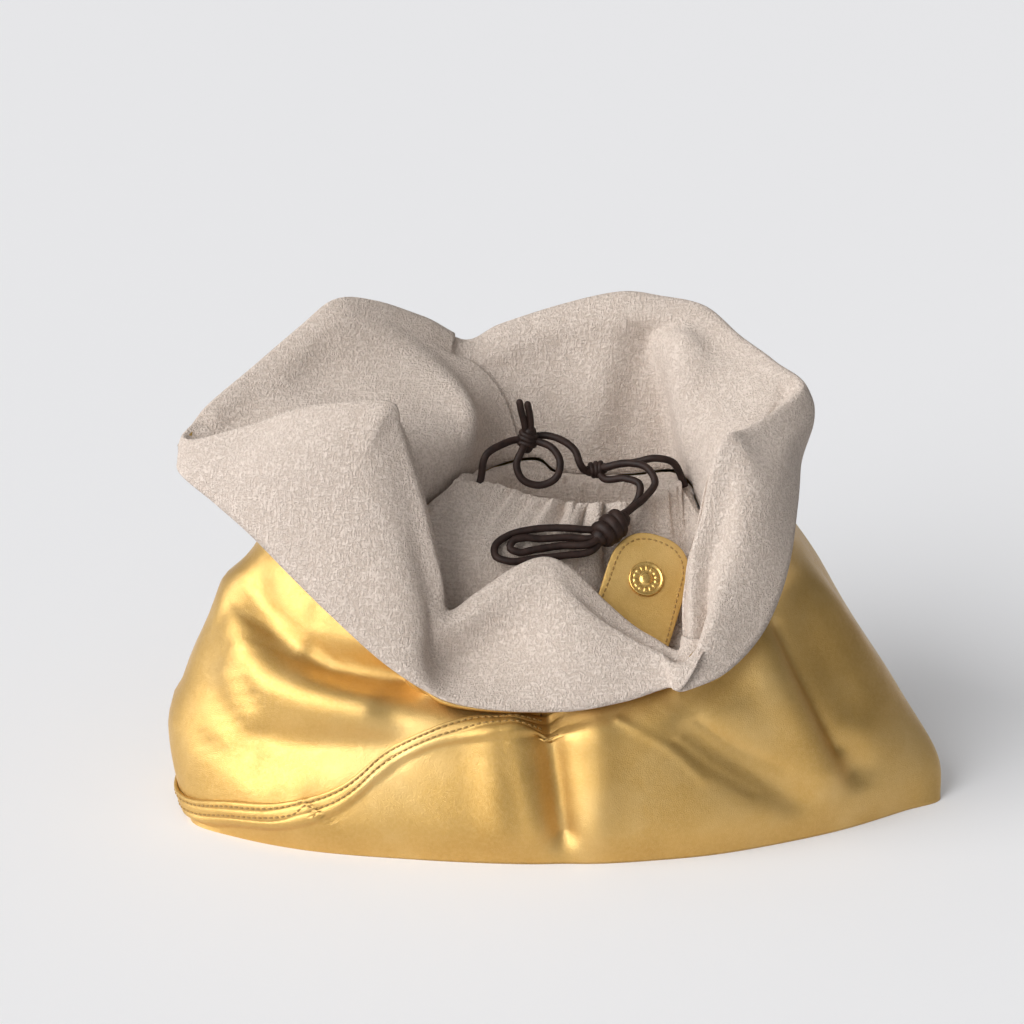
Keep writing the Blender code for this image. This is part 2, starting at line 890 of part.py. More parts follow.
def tab_half_width(down):
    """Half the tab's width at a distance down from its rounded end."""
    round_part = np.clip(1 - down / TAB_ROUND, 0, 1) ** TAB_CURVE
    half = TAB_WIDTH / 2 * (1 - round_part) ** (1 / TAB_CURVE)
    return np.where((down >= 0) & (down <= TAB_LENGTH), half, -1)


def tab_outline(count, hole):
    """The tab's outline and a round hole, both seen from the snap, with the tab running down -Y."""
    angles = np.arange(count) * 2 * math.pi / count
    rays = np.stack([np.sin(angles), np.cos(angles)], axis=1)
    lengths = np.linspace(0.5, TAB_LENGTH * 1.2, 1200)
    edge = []
    for ray in rays:
        places = ray * lengths[:, None]
        down = SNAP_FROM_END - places[:, 1]
        inside = np.abs(places[:, 0]) <= tab_half_width(down)
        edge.append(places[inside].tolist()[-1])
    return np.array(edge), rays * hole


def placed(points, base, frame):
    """Points in a piece's own axes, put where the piece lies."""
    return np.asarray(points) @ np.array(frame) + np.array(base)


def add_loop_plate(name, outline, hole, low, high, place, look):
    """A flat plate with a round hole and eased edges, made as one closed loop of rows."""
    inner = outline * (1 - TAB_EDGE / np.linalg.norm(outline, axis=1, keepdims=True))
    heights = (low, low, low + TAB_EDGE, high - TAB_EDGE, high, high)
    loops = (hole, inner, outline, outline, inner, hole)
    rows = [np.column_stack([loop, np.full(len(loop), height)]) for loop, height in zip(loops, heights)]
    grid = placed(np.array(rows + rows[:1]), *place)
    columns = len(outline)
    faces = grid_faces(len(grid), columns, np.ones((len(grid) - 1, columns), bool))
    last = len(rows) * columns
    faces = [tuple(c - last if c >= last else c for c in face[::-1]) for face in faces]
    return add_closed(name, grid.reshape(-1, 3), faces, look)


def add_turned(name, profile_rows, sides, place, look, raised=None):
    """A turned solid from rows of (radius, height). raised lifts rows at every second side."""
    angles = np.arange(sides) * 2 * math.pi / sides
    rows = []
    for k, (radius, height) in enumerate(profile_rows):
        lift = np.where(np.arange(sides) % 2 == 0, (raised or {}).get(k, 0), 0)
        rows.append(np.stack([radius * np.cos(angles), radius * np.sin(angles), height + lift], axis=1))
    return add_skin(name, placed(np.array(rows), *place), look)


def add_tab(gold, brass, pouch_points):
    along = unit(np.array(TAB_ALONG))
    facing = unit(np.cross(along, np.array(TAB_ACROSS)))
    if facing[2] < 0:
        facing = -facing
    across = np.cross(facing, along)
    frame = np.array([across, -along, facing])
    top = np.array(TAB_TOP, float)
    local = (pouch_points - top) @ frame.T
    near = (np.abs(local[:, 0]) < tab_half_width(-local[:, 1]) + 2) & (np.abs(local[:, 2]) < 40)
    socket = 1.8
    seat = local[near, 2].max() + socket + 2 * SEAT_GAP
    base = top + along * SNAP_FROM_END + facing * seat
    place = (base, frame)
    outline, hole = tab_outline(TAB_SIDES, POST_RADIUS + SEAT_GAP)
    add_loop_plate("tab_back", outline, hole, 0, TAB_LAYER, place, gold)
    low = TAB_LAYER + SEAT_GAP
    add_loop_plate("tab_front", outline, hole, low, low + TAB_LAYER, place, gold)
    rest = low + TAB_LAYER + SEAT_GAP
    r = SNAP_RADIUS
    cap = [
        (POST_RADIUS, -SEAT_GAP),
        (POST_RADIUS, rest),
        (r, rest),
        (r, rest + 0.7),
        (r - 0.7, rest + 1.1),
        (r - 1.6, rest + 0.7),
        (r - 2.4, rest + 0.7),
        (r - 4.4, rest + 0.7),
        (3.2, rest + 0.7),
        (2.6, rest + 1.3),
        (1.0, rest + 1.6),
    ]
    lifts = {6: 0.35, 7: 0.35}
    add_turned("snap_cap", cap, 2 * SNAP_DASHES, place, brass, lifts)
    back = [(6.5, -SEAT_GAP - socket), (7, -SEAT_GAP - socket + 0.4), (7, -2 * SEAT_GAP), (1, -2 * SEAT_GAP)]
    add_turned("snap_socket", back, 24, place, brass)


# Cords: the points that each run passes through, from end to end.
CORDS = {
    "cord_left": [(-41, 4, 167), (-38, 6, 180), (-29, 12, 184), (-22.5, 16, 185)],
    "cord_ring": [
        (-19, 11, 181),
        (-22, 7, 174),
        (-19, 4, 167),
        (-10, 3, 164),
        (-1, 4, 168),
        (1, 7, 176),
        (-3, 11, 182),
        (-9.5, 15, 184),
    ],
    "cord_second_loop": [(-10, 20, 186), (1, 17, 185), (9, 13, 180), (12, 10, 173), (14.7, 11.8, 169)],
    "cord_right": [
        (66, 18, 163.5),
        (61, 16, 172.5),
        (52, 15, 175),
        (41, 17, 172),
        (30, 18, 170),
        (25, 16.2, 169),
    ],
    "cord_upper_strand": [
        (24, 11.2, 171),
        (38, 7, 175),
        (47, 2, 174),
        (51, -3, 168),
        (46, -9, 162),
        (38, -16, 157.5),
        (33, -20.5, 155),
    ],
    "cord_lower_strand": [
        (24, 8.8, 166),
        (36, 3.4, 167.6),
        (43, -2, 166),
        (42, -6, 159.6),
        (37, -11, 155),
        (30.5, -17, 153),
    ],
    "cord_long_loop": [
        (17.6, -27, 150),
        (2, -27, 151),
        (-14, -28, 150.5),
        (-26, -30, 148),
        (-33, -34, 144),
        (-33, -39, 140),
        (-26, -41.5, 138),
        (-12, -40, 139),
        (4, -38, 140),
        (17, -35.5, 141.5),
    ],
    "cord_short_loop": [
        (18, -31, 147),
        (4, -31.5, 147.5),
        (-10, -32.5, 147),
        (-20, -34, 145.5),
        (-22, -36.5, 143.5),
        (-14, -36, 143.5),
        (0, -35, 144),
        (17.5, -34.5, 145.5),
    ],
}
CORD_STEP = 2.2
KNOTS = {
    "left_knot": ((-16, 17, 185), (0.2, 0.1, 1.0), 5.6, 9.0),
    "middle_knot": ((20.5, 14, 169), (0.9, -0.1, 0.2), 4.6, 8.0),
    "big_knot": ((27, -25.5, 150), (0.75, 0.5, 0.42), 8.0, 17.0),
}


def cord_points(route):
    """Points evenly spaced along the smooth curve through a route."""
    knots = np.concatenate([[0], np.cumsum(np.linalg.norm(np.diff(route, axis=0), axis=1))])
    fine = smooth(knots, np.array(route, float), np.linspace(0, knots[-1], 400))
    length = np.concatenate([[0], np.cumsum(np.linalg.norm(np.diff(fine, axis=0), axis=1))])
    count = max(4, round(length[-1] / (CORD_STEP * CORD_DIAMETER)) + 1)
    even = np.linspace(0, length[-1], count)
    return np.stack([np.interp(even, length, fine[:, axis]) for axis in range(3)], axis=1)


def add_cord(name, route, look):
    points = cord_points(route)
    curve = bpy.data.curves.new(name, "CURVE")
    curve.dimensions = "3D"
    curve.bevel_depth = CORD_DIAMETER / 2 * MM
    curve.bevel_resolution = 2
    curve.use_fill_caps = True
    curve.materials.append(look)
    spline = curve.splines.new("POLY")
    spline.points.add(len(points) - 1)
    for point, place in zip(spline.points, points):
        point.co = (*(place * MM), 1)
    bpy.context.scene.collection.objects.link(bpy.data.objects.new(name, curve))


def add_knot(name, middle, axis, radius, length, look):
    """A knot as a barrel of three wraps of cord."""
    frame = frame_along(axis)
    rows = []
    for k in range(10):
        share = k / 9
        bulge = 0.62 + 0.38 * math.sin(math.pi * share)
        wrap = 1 - 0.1 * math.cos(6 * math.pi * share)
        end = min(1, 6 * min(share, 1 - share) + 0.35)
        rows.append((radius * bulge * wrap * end, (share - 0.5) * length))
    add_turned(name, rows, 10, (middle, frame), look)


def frame_along(axis):
    up = unit(np.array(axis, float))
    side = unit(np.cross(up, [0, 1.0, 0.2]))
    return np.array([side, np.cross(up, side), up])


def main():
    clear_scene()
    gold = material("gold_leather", GOLD)
    beige = material("beige_lining", BEIGE)
    brown = material("brown_cord", BROWN)
    brass = material("gold_metal", BRASS)
    stations = np.arange(STATIONS) * 360 / STATIONS
    inner = len(INNER_ROWS)
    lining = lining_surface(stations, INNER_ROWS, CREST_ROWS + FALL_ROWS)
    faces = -faces_out(lining)
    add_leather(stations, (lining[inner:], faces[inner:]), gold)
    add_lining(stations, lining, faces, beige)
    pouch = pouch_surface(np.arange(POUCH_STATIONS) * 360 / POUCH_STATIONS, POUCH_ROWS)
    add_skin("drawstring_pouch", pouch, beige)
    add_tab(gold, brass, between_rows(pouch))
    for name, route in CORDS.items():
        add_cord(name, route, brown)
    for name, (middle, axis, radius, length) in KNOTS.items():
        add_knot(name, middle, axis, radius, length, brown)


main()
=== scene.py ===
"""Looks of the slouched gold shoulder bag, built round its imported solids.

The leather, lining and pouch are lofted through the same rings as the solids, far more finely.
"""

import json
import math

import bpy
import mathutils
import numpy as np
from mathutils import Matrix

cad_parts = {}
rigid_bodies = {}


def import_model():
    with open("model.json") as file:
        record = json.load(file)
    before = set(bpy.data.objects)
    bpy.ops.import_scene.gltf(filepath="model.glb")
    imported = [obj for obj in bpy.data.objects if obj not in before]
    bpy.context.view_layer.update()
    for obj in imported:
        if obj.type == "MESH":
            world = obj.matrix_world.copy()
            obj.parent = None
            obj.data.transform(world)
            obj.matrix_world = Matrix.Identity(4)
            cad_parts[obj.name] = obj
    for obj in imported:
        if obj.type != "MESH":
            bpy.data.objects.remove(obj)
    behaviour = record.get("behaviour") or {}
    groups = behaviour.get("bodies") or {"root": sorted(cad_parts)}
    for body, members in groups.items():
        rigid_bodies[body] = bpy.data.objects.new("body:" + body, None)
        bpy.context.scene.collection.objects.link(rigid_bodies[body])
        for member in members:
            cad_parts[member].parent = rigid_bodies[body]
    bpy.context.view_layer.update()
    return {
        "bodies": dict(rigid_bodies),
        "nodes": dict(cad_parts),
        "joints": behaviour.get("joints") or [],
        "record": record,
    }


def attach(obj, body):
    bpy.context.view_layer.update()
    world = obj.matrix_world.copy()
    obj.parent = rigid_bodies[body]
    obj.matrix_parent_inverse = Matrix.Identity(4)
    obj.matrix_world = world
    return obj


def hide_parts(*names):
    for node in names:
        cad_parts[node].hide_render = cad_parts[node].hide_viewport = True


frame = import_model()

# Every length below is in millimetres. MM turns it into metres when a mesh is made.
MM = 0.001

# The driving sizes, rings and routes are the solids' own.
LEATHER = 2.0
LINING = 1.4
CLEARANCE = 0.4
CORD_DIAMETER = 4.0
GOLD_SHOWING_AT_HEM = 1.0
LAP_WIDTH = 11.0
LAP_RAMP = 5.0
ROOM_IN_CUFF = 6.0
ROOM_UNDER_CREST = 0.7
TWIST = 0.8
STATIONS = 68

# A ring is a closed line round the bag. Each row is a station in degrees, then x, y and z.
# Station 0 is the right side, 90 the back, 180 the left and 270 the front.
CREST = [
    (3, 128, 8, 216), (16, 115, 32, 224), (30, 98, 52, 232), (44, 80, 68, 244), (58, 56, 78, 247),
    (72, 35, 83, 248), (87, 2, 85, 240), (102, -31, 82, 229), (113, -50, 78, 221),
    (124, -74, 73, 235), (134, -98, 67, 247), (144, -120, 60, 250), (153, -138, 50, 238),
    (162, -164, 34, 219), (171, -187, 16, 203), (176, -193, 9, 196.5), (180, -197, -3, 193.5),
    (184, -186, -14, 196), (187, -160, -22, 206), (193, -133, -34, 219), (198, -109, -42, 225),
    (203, -85, -46, 226), (208, -80, -47, 211), (214, -71, -51, 180), (221, -65, -56, 155),
    (228, -60, -60, 135), (235, -57, -62, 119), (242, -43, -58, 127), (252, -23, -52, 139),
    (262, -7, -48, 143), (272, 7, -50, 137), (282, 23, -58, 123), (294, 44, -70, 107),
    (308, 64, -80, 104), (312, 67, -76, 111), (316, 67, -67, 125), (321, 68, -57, 147),
    (327, 73, -49, 166), (333, 78, -42, 190), (339, 84, -36, 203), (348, 97, -24, 205),
    (356, 114, -8, 210),
]
HEM = [
    (-3, 127, -8, 176), (10, 130, 22, 180), (30, 108, 64, 180), (60, 58, 95, 180),
    (90, 0, 101, 178), (120, -76, 93, 177), (150, -150, 70, 178), (162, -176, 40, 180),
    (171, -195, 12, 180), (180, -199, -12, 177), (188, -178, -30, 165), (196, -159, -44, 153),
    (204, -138, -58, 136), (212, -117, -72, 120), (222, -89, -86, 99), (232, -66, -94, 87),
    (244, -41, -99, 81), (258, 0, -102, 80), (274, 30, -100, 84), (292, 54, -96, 90),
    (308, 66, -97, 90), (315, 82, -91, 95), (323, 99, -78, 106), (331, 110, -66, 120),
    (340, 119, -50, 142), (348, 124, -30, 166),
]
INNER_HIGH = [
    (3, 108, 2, 204), (16, 98, 20, 208), (30, 84, 38, 216), (44, 64, 56, 232), (50, 54, 66, 228),
    (58, 50, 72, 225), (72, 30, 68, 222), (87, 6, 70, 216), (102, -20, 70, 210),
    (113, -37, 68, 208), (124, -58, 60, 214), (134, -74, 50, 222), (144, -106, 42, 221),
    (153, -130, 34, 214), (162, -150, 20, 206), (171, -172, 8, 194), (180, -176, -6, 189),
    (187, -148, -15, 199), (193, -122, -24, 210), (198, -103, -30, 215), (203, -84, -34, 214),
    (208, -77, -37, 200), (214, -69, -42, 172), (221, -63, -47, 148), (235, -55, -55, 111),
    (252, -23, -43, 126), (262, -7, -39, 129), (272, 7, -48, 117), (283, 24, -57, 107),
    (294, 43, -64, 96), (308, 64, -75, 96), (316, 64, -58, 122), (327, 71, -42, 158),
    (333, 76, -34, 181), (339, 81, -28, 192), (348, 90, -18, 195), (356, 100, -8, 199),
]
INNER_MID = [
    (3, 88, -8, 190), (16, 82, 6, 190), (30, 74, 20, 190), (44, 63, 38, 190), (50, 60, 58, 192),
    (58, 46, 62, 193), (72, 24, 55, 192), (87, 8, 58, 190), (102, -8, 60, 190),
    (113, -24, 60, 194), (120, -36, 54, 196), (126, -45, 40, 197), (132, -44, 21, 199),
    (140, -52, 10, 190), (150, -66, 2, 190), (162, -84, -4, 194), (171, -96, -8, 195),
    (180, -100, -12, 196), (187, -96, -18, 196), (193, -89, -24, 196), (203, -76, -32, 188),
    (214, -68, -38, 158), (228, -59, -50, 124), (235, -54, -54, 108), (252, -24, -43, 121),
    (262, -8, -40, 125), (272, 6, -51, 109), (283, 25, -62, 98), (294, 42, -65, 91),
    (308, 63, -69, 93), (321, 68, -46, 134), (333, 75, -28, 168), (348, 82, -18, 182),
]
INNER_FOOT = [
    (3, 76, -4, 150), (16, 75, 6, 152), (30, 73, 16, 155), (44, 70, 27, 159), (50, 64, 46, 158),
    (58, 42, 48, 155), (72, 20, 46, 155), (87, 8, 46, 155), (102, -2, 47, 158),
    (113, -12, 49, 164), (120, -26, 46, 163), (126, -38, 36, 162), (132, -46, 22, 161),
    (140, -58, 6, 159), (150, -68, -8, 158), (162, -73, -16, 157), (180, -76, -23, 154),
    (193, -75, -28, 150), (203, -73, -33, 146), (214, -69, -38, 137), (228, -60, -48, 115),
    (235, -53, -52, 104), (252, -24, -44, 116), (262, -8, -41, 120), (272, 6, -53, 99),
    (283, 25, -63, 89), (294, 42, -64, 84), (302, 53, -64, 83), (308, 61, -61, 88),
    (321, 68, -42, 112), (333, 71, -28, 128), (348, 74, -16, 140),
]
FOOT = [
    (346, 205, -38, 0), (356, 198, -16, 0), (12, 176, 14, 0), (35, 130, 52, 0), (60, 70, 76, 0),
    (90, 0, 82, 0), (115, -65, 76, 0), (140, -125, 55, 0), (160, -165, 20, 0), (178, -186, -30, 0),
    (195, -191, -68, 0), (205, -166, -84, 0), (216, -134, -97, 0), (236, -71, -109, 0),
    (262, 0, -114, 0), (284, 46, -110, 0), (308, 98, -97, 0), (326, 153, -72, 0),
    (336, 184, -52, 0),
]
LOW = [
    (346, 204, -30, 18), (356, 201, -14, 20), (12, 183, 22, 20), (35, 136, 60, 20),
    (60, 74, 84, 20), (90, 0, 90, 20), (115, -70, 84, 20), (140, -133, 62, 20),
    (160, -178, 24, 20), (178, -200, -28, 20), (195, -196, -60, 14), (205, -172, -82, 16),
    (216, -138, -98, 18), (236, -72, -111, 20), (262, 0, -116, 20), (284, 46, -112, 20),
    (308, 98, -98, 20), (326, 151, -72, 20), (336, 183, -50, 18),
]
MID = [
    (346, 182, -28, 52), (356, 184, -4, 52), (12, 168, 30, 54), (35, 132, 62, 56),
    (60, 74, 87, 58), (90, 0, 93, 58), (115, -75, 87, 56), (140, -142, 64, 54),
    (160, -188, 26, 50), (178, -206, -18, 46), (195, -196, -52, 46), (205, -168, -74, 50),
    (216, -132, -90, 52), (236, -70, -103, 54), (262, 0, -108, 54), (284, 45, -105, 54),
    (308, 90, -93, 52), (326, 136, -73, 52), (336, 163, -53, 52),
]
SHOULDER = [
    (346, 149, -22, 104), (356, 148, 0, 106), (12, 142, 34, 112), (35, 112, 66, 114),
    (60, 66, 88, 114), (90, 0, 94, 114), (120, -78, 87, 112), (145, -140, 60, 108),
    (162, -170, 26, 106), (178, -182, -14, 104), (190, -180, -34, 100), (200, -164, -58, 92),
    (212, -132, -78, 82), (232, -74, -96, 72), (258, 0, -103, 68), (280, 40, -100, 70),
    (300, 68, -94, 72), (316, 96, -84, 76), (331, 124, -64, 86),
]
HIGH = [
    (-3, 117, -4, 158), (16, 112, 30, 163), (40, 84, 62, 164), (65, 45, 82, 164), (90, 0, 88, 164),
    (120, -70, 80, 162), (150, -125, 52, 156), (165, -146, 26, 150), (180, -156, -8, 148),
    (190, -150, -26, 144), (200, -138, -42, 132), (212, -110, -62, 106), (222, -85, -77, 90),
    (232, -64, -86, 80), (244, -40, -92, 73), (258, 0, -96, 72), (274, 29, -94, 76),
    (292, 52, -90, 80), (308, 68, -87, 82), (323, 95, -72, 96), (340, 114, -46, 130),
]

# How far the cuff bows out between its crest and its hem, how tightly it turns at the crest,
# and the gap between the lining and the leather. Each row is a station, then a length.
FALL_BOW = [
    (0, 6), (60, 10), (120, 10), (165, 4), (173, 1.5), (182, 1.5), (190, 6), (210, 6), (225, 2),
    (236, -12), (248, -9), (262, 3), (280, 6), (300, 5), (320, 7), (345, 7),
]
CREST_TURN = [
    (0, 8), (60, 10), (120, 9), (168, 5.5), (180, 4.5), (194, 6), (203, 6), (235, 6), (262, 8),
    (290, 7.5), (308, 6), (320, 7), (335, 7),
]
SHEET_GAP = [
    (90, 0.8), (130, 0.8), (150, 0.8), (163, 1.0), (172, 1.6), (180, 2.8), (186, 2.2), (195, 1.3),
    (205, 1.0), (215, 0.8), (230, 1.2), (240, 1.3), (255, 0.8), (280, 0.9), (290, 1.7), (300, 2.8),
    (310, 2.0), (318, 2.0), (330, 1.0), (345, 0.8),
]

# Where the lapped seam runs: the station, then how high on the wall, in rings from the foot.
SEAM = [
    (118, 4.2), (130, 3.0), (150, 1.9), (170, 1.1), (187, 0.95), (195, 0.95), (205, 1.15),
    (216, 1.3), (226, 1.75), (234, 2.7), (243, 3.8), (252, 4.2), (300, 3.2), (0, 2.6), (60, 3.2),
]

# The stations that each lining flap runs between, and how far, in degrees, the front one lies over.
FLAP_OVERLAP = 6
FLAP_RAMP = 10
EDGE_LIFT = 1.0
FRONT_FLAP = (113, 305)

# The gathered pouch: its rim at the neck, and its slope half way to the lining.
NECK = [
    (132, -38, 25, 166), (140, -46, 14, 168), (150, -52, 6, 169), (165, -54, 0, 169),
    (180, -50, -2, 168), (200, -44, 0, 167), (215, -34, 4, 165), (228, -24, 4, 162),
    (240, -14, 2, 159), (252, -4, 0, 158), (265, 8, -3, 157), (278, 22, -4, 157),
    (292, 36, -3, 157), (305, 48, 0, 158), (318, 58, 6, 160), (333, 66, 14, 162),
    (350, 64, 19, 162), (10, 62, 27, 161), (35, 52, 35, 160), (60, 36, 38, 157), (80, 16, 38, 156),
    (100, -4, 40, 160), (116, -26, 38, 163),
]
SLOPE = [
    (132, -41, 24, 164), (140, -52, 9, 163), (150, -61, -3, 162), (165, -66, -10, 161),
    (180, -67, -14, 160), (200, -63, -18, 160), (214, -54, -22, 154), (228, -41, -28, 147),
    (240, -30, -29, 145), (252, -17, -29, 145), (262, -4, -29, 145), (272, 10, -29, 143),
    (277, 18, -28, 134), (283, 26, -28, 126), (294, 42, -31, 117), (305, 52, -34, 114),
    (318, 62, -23, 127), (333, 68, -9, 139), (350, 70, 4, 153), (10, 68, 13, 156),
    (40, 61, 30, 158), (60, 40, 43, 156), (80, 16, 43, 156), (100, -3, 44, 158),
    (116, -23, 41, 163),
]
POUCH_STATIONS = 120
POUCH_TAPER = 0.13
POUCH_MIDDLE = (0.0, -15.0)
SHOULDER_DROP = 1.9
MOUTH_DEPTH = 22.0
PLEATS = 30
PLEAT_DEPTH = [
    (20, 0.5), (90, 0.4), (125, 0.4), (150, 1.0), (200, 1.8), (262, 1.8), (300, 1.0), (335, 0.8),
]
POUCH_ROWS = (0, 3, 4, 5, 6, 7, 9)

# The closure tab: where its end lies, which way it runs and which way its width lies.
TAB_TOP = (52.3, -16.2, 140)
TAB_ALONG = (-0.30, -0.58, -0.75)
TAB_ACROSS = (0.99, 0.12, 0.04)
TAB_WIDTH = 43.0
TAB_LENGTH = 60.0
TAB_ROUND = 24.0
TAB_CURVE = 2.4
TAB_LAYER = 1.3
SNAP_FROM_END = 25.0
SNAP_RADIUS = 9.2
SNAP_DASHES = 14
POST_RADIUS = 2.0
SEAT_GAP = 0.3

# Cords: the points that each run passes through, from end to end.
CORDS = {
    "cord_left": [
        (-41, 4, 167), (-38, 6, 180), (-29, 12, 184), (-22.5, 16, 185),
    ],
    "cord_ring": [
        (-19, 11, 181), (-22, 7, 174), (-19, 4, 167), (-10, 3, 164), (-1, 4, 168), (1, 7, 176),
        (-3, 11, 182), (-9.5, 15, 184),
    ],
    "cord_second_loop": [
        (-10, 20, 186), (1, 17, 185), (9, 13, 180), (12, 10, 173), (14.7, 11.8, 169),
    ],
    "cord_right": [
        (66, 18, 163.5), (61, 16, 172.5), (52, 15, 175), (41, 17, 172), (30, 18, 170),
        (25, 16.2, 169),
    ],
    "cord_upper_strand": [
        (24, 11.2, 171), (38, 7, 175), (47, 2, 174), (51, -3, 168), (46, -9, 162),
        (38, -16, 157.5), (33, -20.5, 155),
    ],
    "cord_lower_strand": [
        (24, 8.8, 166), (36, 3.4, 167.6), (43, -2, 166), (42, -6, 159.6), (37, -11, 155),
        (30.5, -17, 153),
    ],
    "cord_long_loop": [
        (17.6, -27, 150), (2, -27, 151), (-14, -28, 150.5), (-26, -30, 148), (-33, -34, 144),
        (-33, -39, 140), (-26, -41.5, 138), (-12, -40, 139), (4, -38, 140), (17, -35.5, 141.5),
    ],
    "cord_short_loop": [
        (18, -31, 147), (4, -31.5, 147.5), (-10, -32.5, 147), (-18, -32.8, 147.6),
        (-24, -34.3, 146.4), (-25.5, -36.8, 143.6), (-21, -38, 141.6), (-13, -37, 142.6),
        (0, -35, 144), (17.5, -34.5, 145.5),
    ],
}
KNOTS = {
    "left_knot": ((-16, 17, 185), (0.2, 0.1, 1.0), 5.6, 9.0),
    "middle_knot": ((20.5, 14, 169), (0.9, -0.1, 0.2), 4.6, 8.0),
    "big_knot": ((27, -25.5, 150), (0.75, 0.5, 0.42), 8.0, 17.0),
}

# The folds of the gold leather on its front, as in the solids.
EYE_RISE = math.radians(20)
RIDGES = [
    # The roll at the left, under the cuff.
    (5, 10, [(-171, 103), (-167, 76), (-156, 57), (-131, 46), (-100, 40)]),
    # The hollow inside that roll.
    (-5, 9, [(-162, 98), (-148, 82), (-132, 70), (-104, 60), (-77, 56)]),
    # The hollow under the roll.
    (-4, 9, [(-160, 25), (-132, 21), (-86, 22)]),
    # The pleat that opens down from the middle of the hem.
    (-6, 10, [(-7, 38), (-2, 5), (2, -24)]),
    # The swell left of that pleat.
    (2.5, 10, [(-35, 25), (-30, -20)]),
    # The crease down the right, and the swell beside it.
    (-5, 9, [(112, 92), (126, 64), (142, 30), (156, 7)]),
    (4, 13, [(105, 64), (124, 32), (136, 6)]),
    # The hollow under that swell.
    (-4, 10, [(68, 28), (96, 10), (122, -7)]),
    # The hollow down the right end.
    (-3.5, 9, [(123, 102), (136, 73), (153, 40)]),
]
LEDGES = [
    # The crease across the left lobe.
    (2.5, 6, 18, [(-194, 41), (-180, 34), (-164, 22), (-151, 8), (-137, -3)]),
]

# Small creases that only the picture's scale shows, each given as a ridge is.
CREASES = [
    # The dark pocket inside the roll, under the cuff.
    (-4.0, 6, [(-160, 96), (-148, 81), (-132, 69), (-104, 60), (-77, 56)]),
    # The floor of the pleat at the middle, and its two shoulders.
    (-3.5, 6, [(-7, 40), (-2, 5), (2, -24)]),
    (1.6, 6, [(-24, 34), (-18, 4), (-12, -22)]),
    (1.8, 9, [(18, 38), (22, 4), (20, -22)]),
    # The pillow inside the roll.
    (2.0, 6, [(-121, 80), (-92, 75)]),
    # The sharp crease under the pillow.
    (-2.4, 3.5, [(-129, 71), (-121, 66), (-98, 63), (-80, 58)]),
    # A short upright fold beside it.
    (1.4, 3, [(-133, 90), (-131, 77)]),
    # The edge of the narrow crease at the far left.
    (-2.0, 3.5, [(-174, 85), (-169, 68), (-163, 57), (-159, 45)]),
    # A soft ridge below it.
    (2.4, 6, [(-172, 57), (-167, 43), (-160, 31)]),
    # The dark hollow at the left corner.
    (-2.4, 5, [(-186, 22), (-168, 13), (-154, 4)]),
    # The sharp floor of the crease down the right.
    (-1.8, 3.5, [(116, 82), (132, 48), (147, 18)]),
    # Fine wrinkles beside the pleat under the hem.
    (-0.8, 2.4, [(71, 35), (91, 21), (117, 8)]),
    (-0.7, 2.2, [(59, 24), (79, 9), (101, -4)]),
    (0.7, 2.5, [(30, 35), (55, 21), (74, 4)]),
]


def smooth(knots, values, at):
    """The smooth curve through values at knots, read at the places in at."""
    steps = np.diff(knots)[:, None]
    slopes = np.diff(values, axis=0) / steps
    inner = (slopes[:-1] * steps[1:] + slopes[1:] * steps[:-1]) / (steps[:-1] + steps[1:])
    tangents = np.concatenate([slopes[:1], inner, slopes[-1:]])
    index = np.clip(np.searchsorted(knots, at, side="right") - 1, 0, len(steps) - 1)
    step = steps[index]
    f = (at - knots[index])[:, None] / step
    start = (2 * f**3 - 3 * f**2 + 1) * values[index]
    start = start + (f**3 - 2 * f**2 + f) * step * tangents[index]
    end = (3 * f**2 - 2 * f**3) * values[index + 1] + (f**3 - f**2) * step * tangents[index + 1]
    return start + end


def ring(rows, stations):
    """A closed smooth ring through rows of (station, values), read at stations in degrees."""
    table = np.array(sorted((row[0] % 360, *row[1:]) for row in rows), float)
    before = table[-3:].copy()
    before[:, 0] -= 360
    after = table[:3].copy()
    after[:, 0] += 360
    table = np.concatenate([before, table, after])
    return smooth(table[:, 0], table[:, 1:], np.mod(stations, 360))


def loft(rings, rows):
    """Rows of a surface through rings. A row of 1.5 lies half way from rings[1] to rings[2]."""
    rings = np.array(rings)
    surface = np.empty((len(rows), rings.shape[1], 3))
    for k in range(rings.shape[1]):
        steps = np.sqrt(np.linalg.norm(np.diff(rings[:, k], axis=0), axis=1) + 0.01)
        knots = np.concatenate([[0], np.cumsum(steps)])
        surface[:, k] = smooth(knots, rings[:, k], np.interp(rows, np.arange(len(rings)), knots))
    return surface


def distance_along(line):
    """How far along a line each of its points lies."""
    return np.concatenate([[0], np.cumsum(np.linalg.norm(np.diff(line, axis=0), axis=1))])


def read_at(places, marks, line):
    """The points of a line at some places, where marks gives the place of each of its own."""
    return np.stack([np.interp(places, marks, line[:, axis]) for axis in range(3)], axis=-1)


def unit(vectors):
    return vectors / np.maximum(np.linalg.norm(vectors, axis=-1, keepdims=True), 1e-9)


def faces_out(grid):
    """Unit normals of a grid of rows by stations that closes on itself round the bag."""
    across = np.roll(grid, -1, axis=1) - np.roll(grid, 1, axis=1)
    return unit(np.cross(across, np.gradient(grid, axis=0)))


def seen(points):
    up = points[..., 2] * math.cos(EYE_RISE) + points[..., 1] * math.sin(EYE_RISE)
    return np.stack([points[..., 0], up], axis=-1)


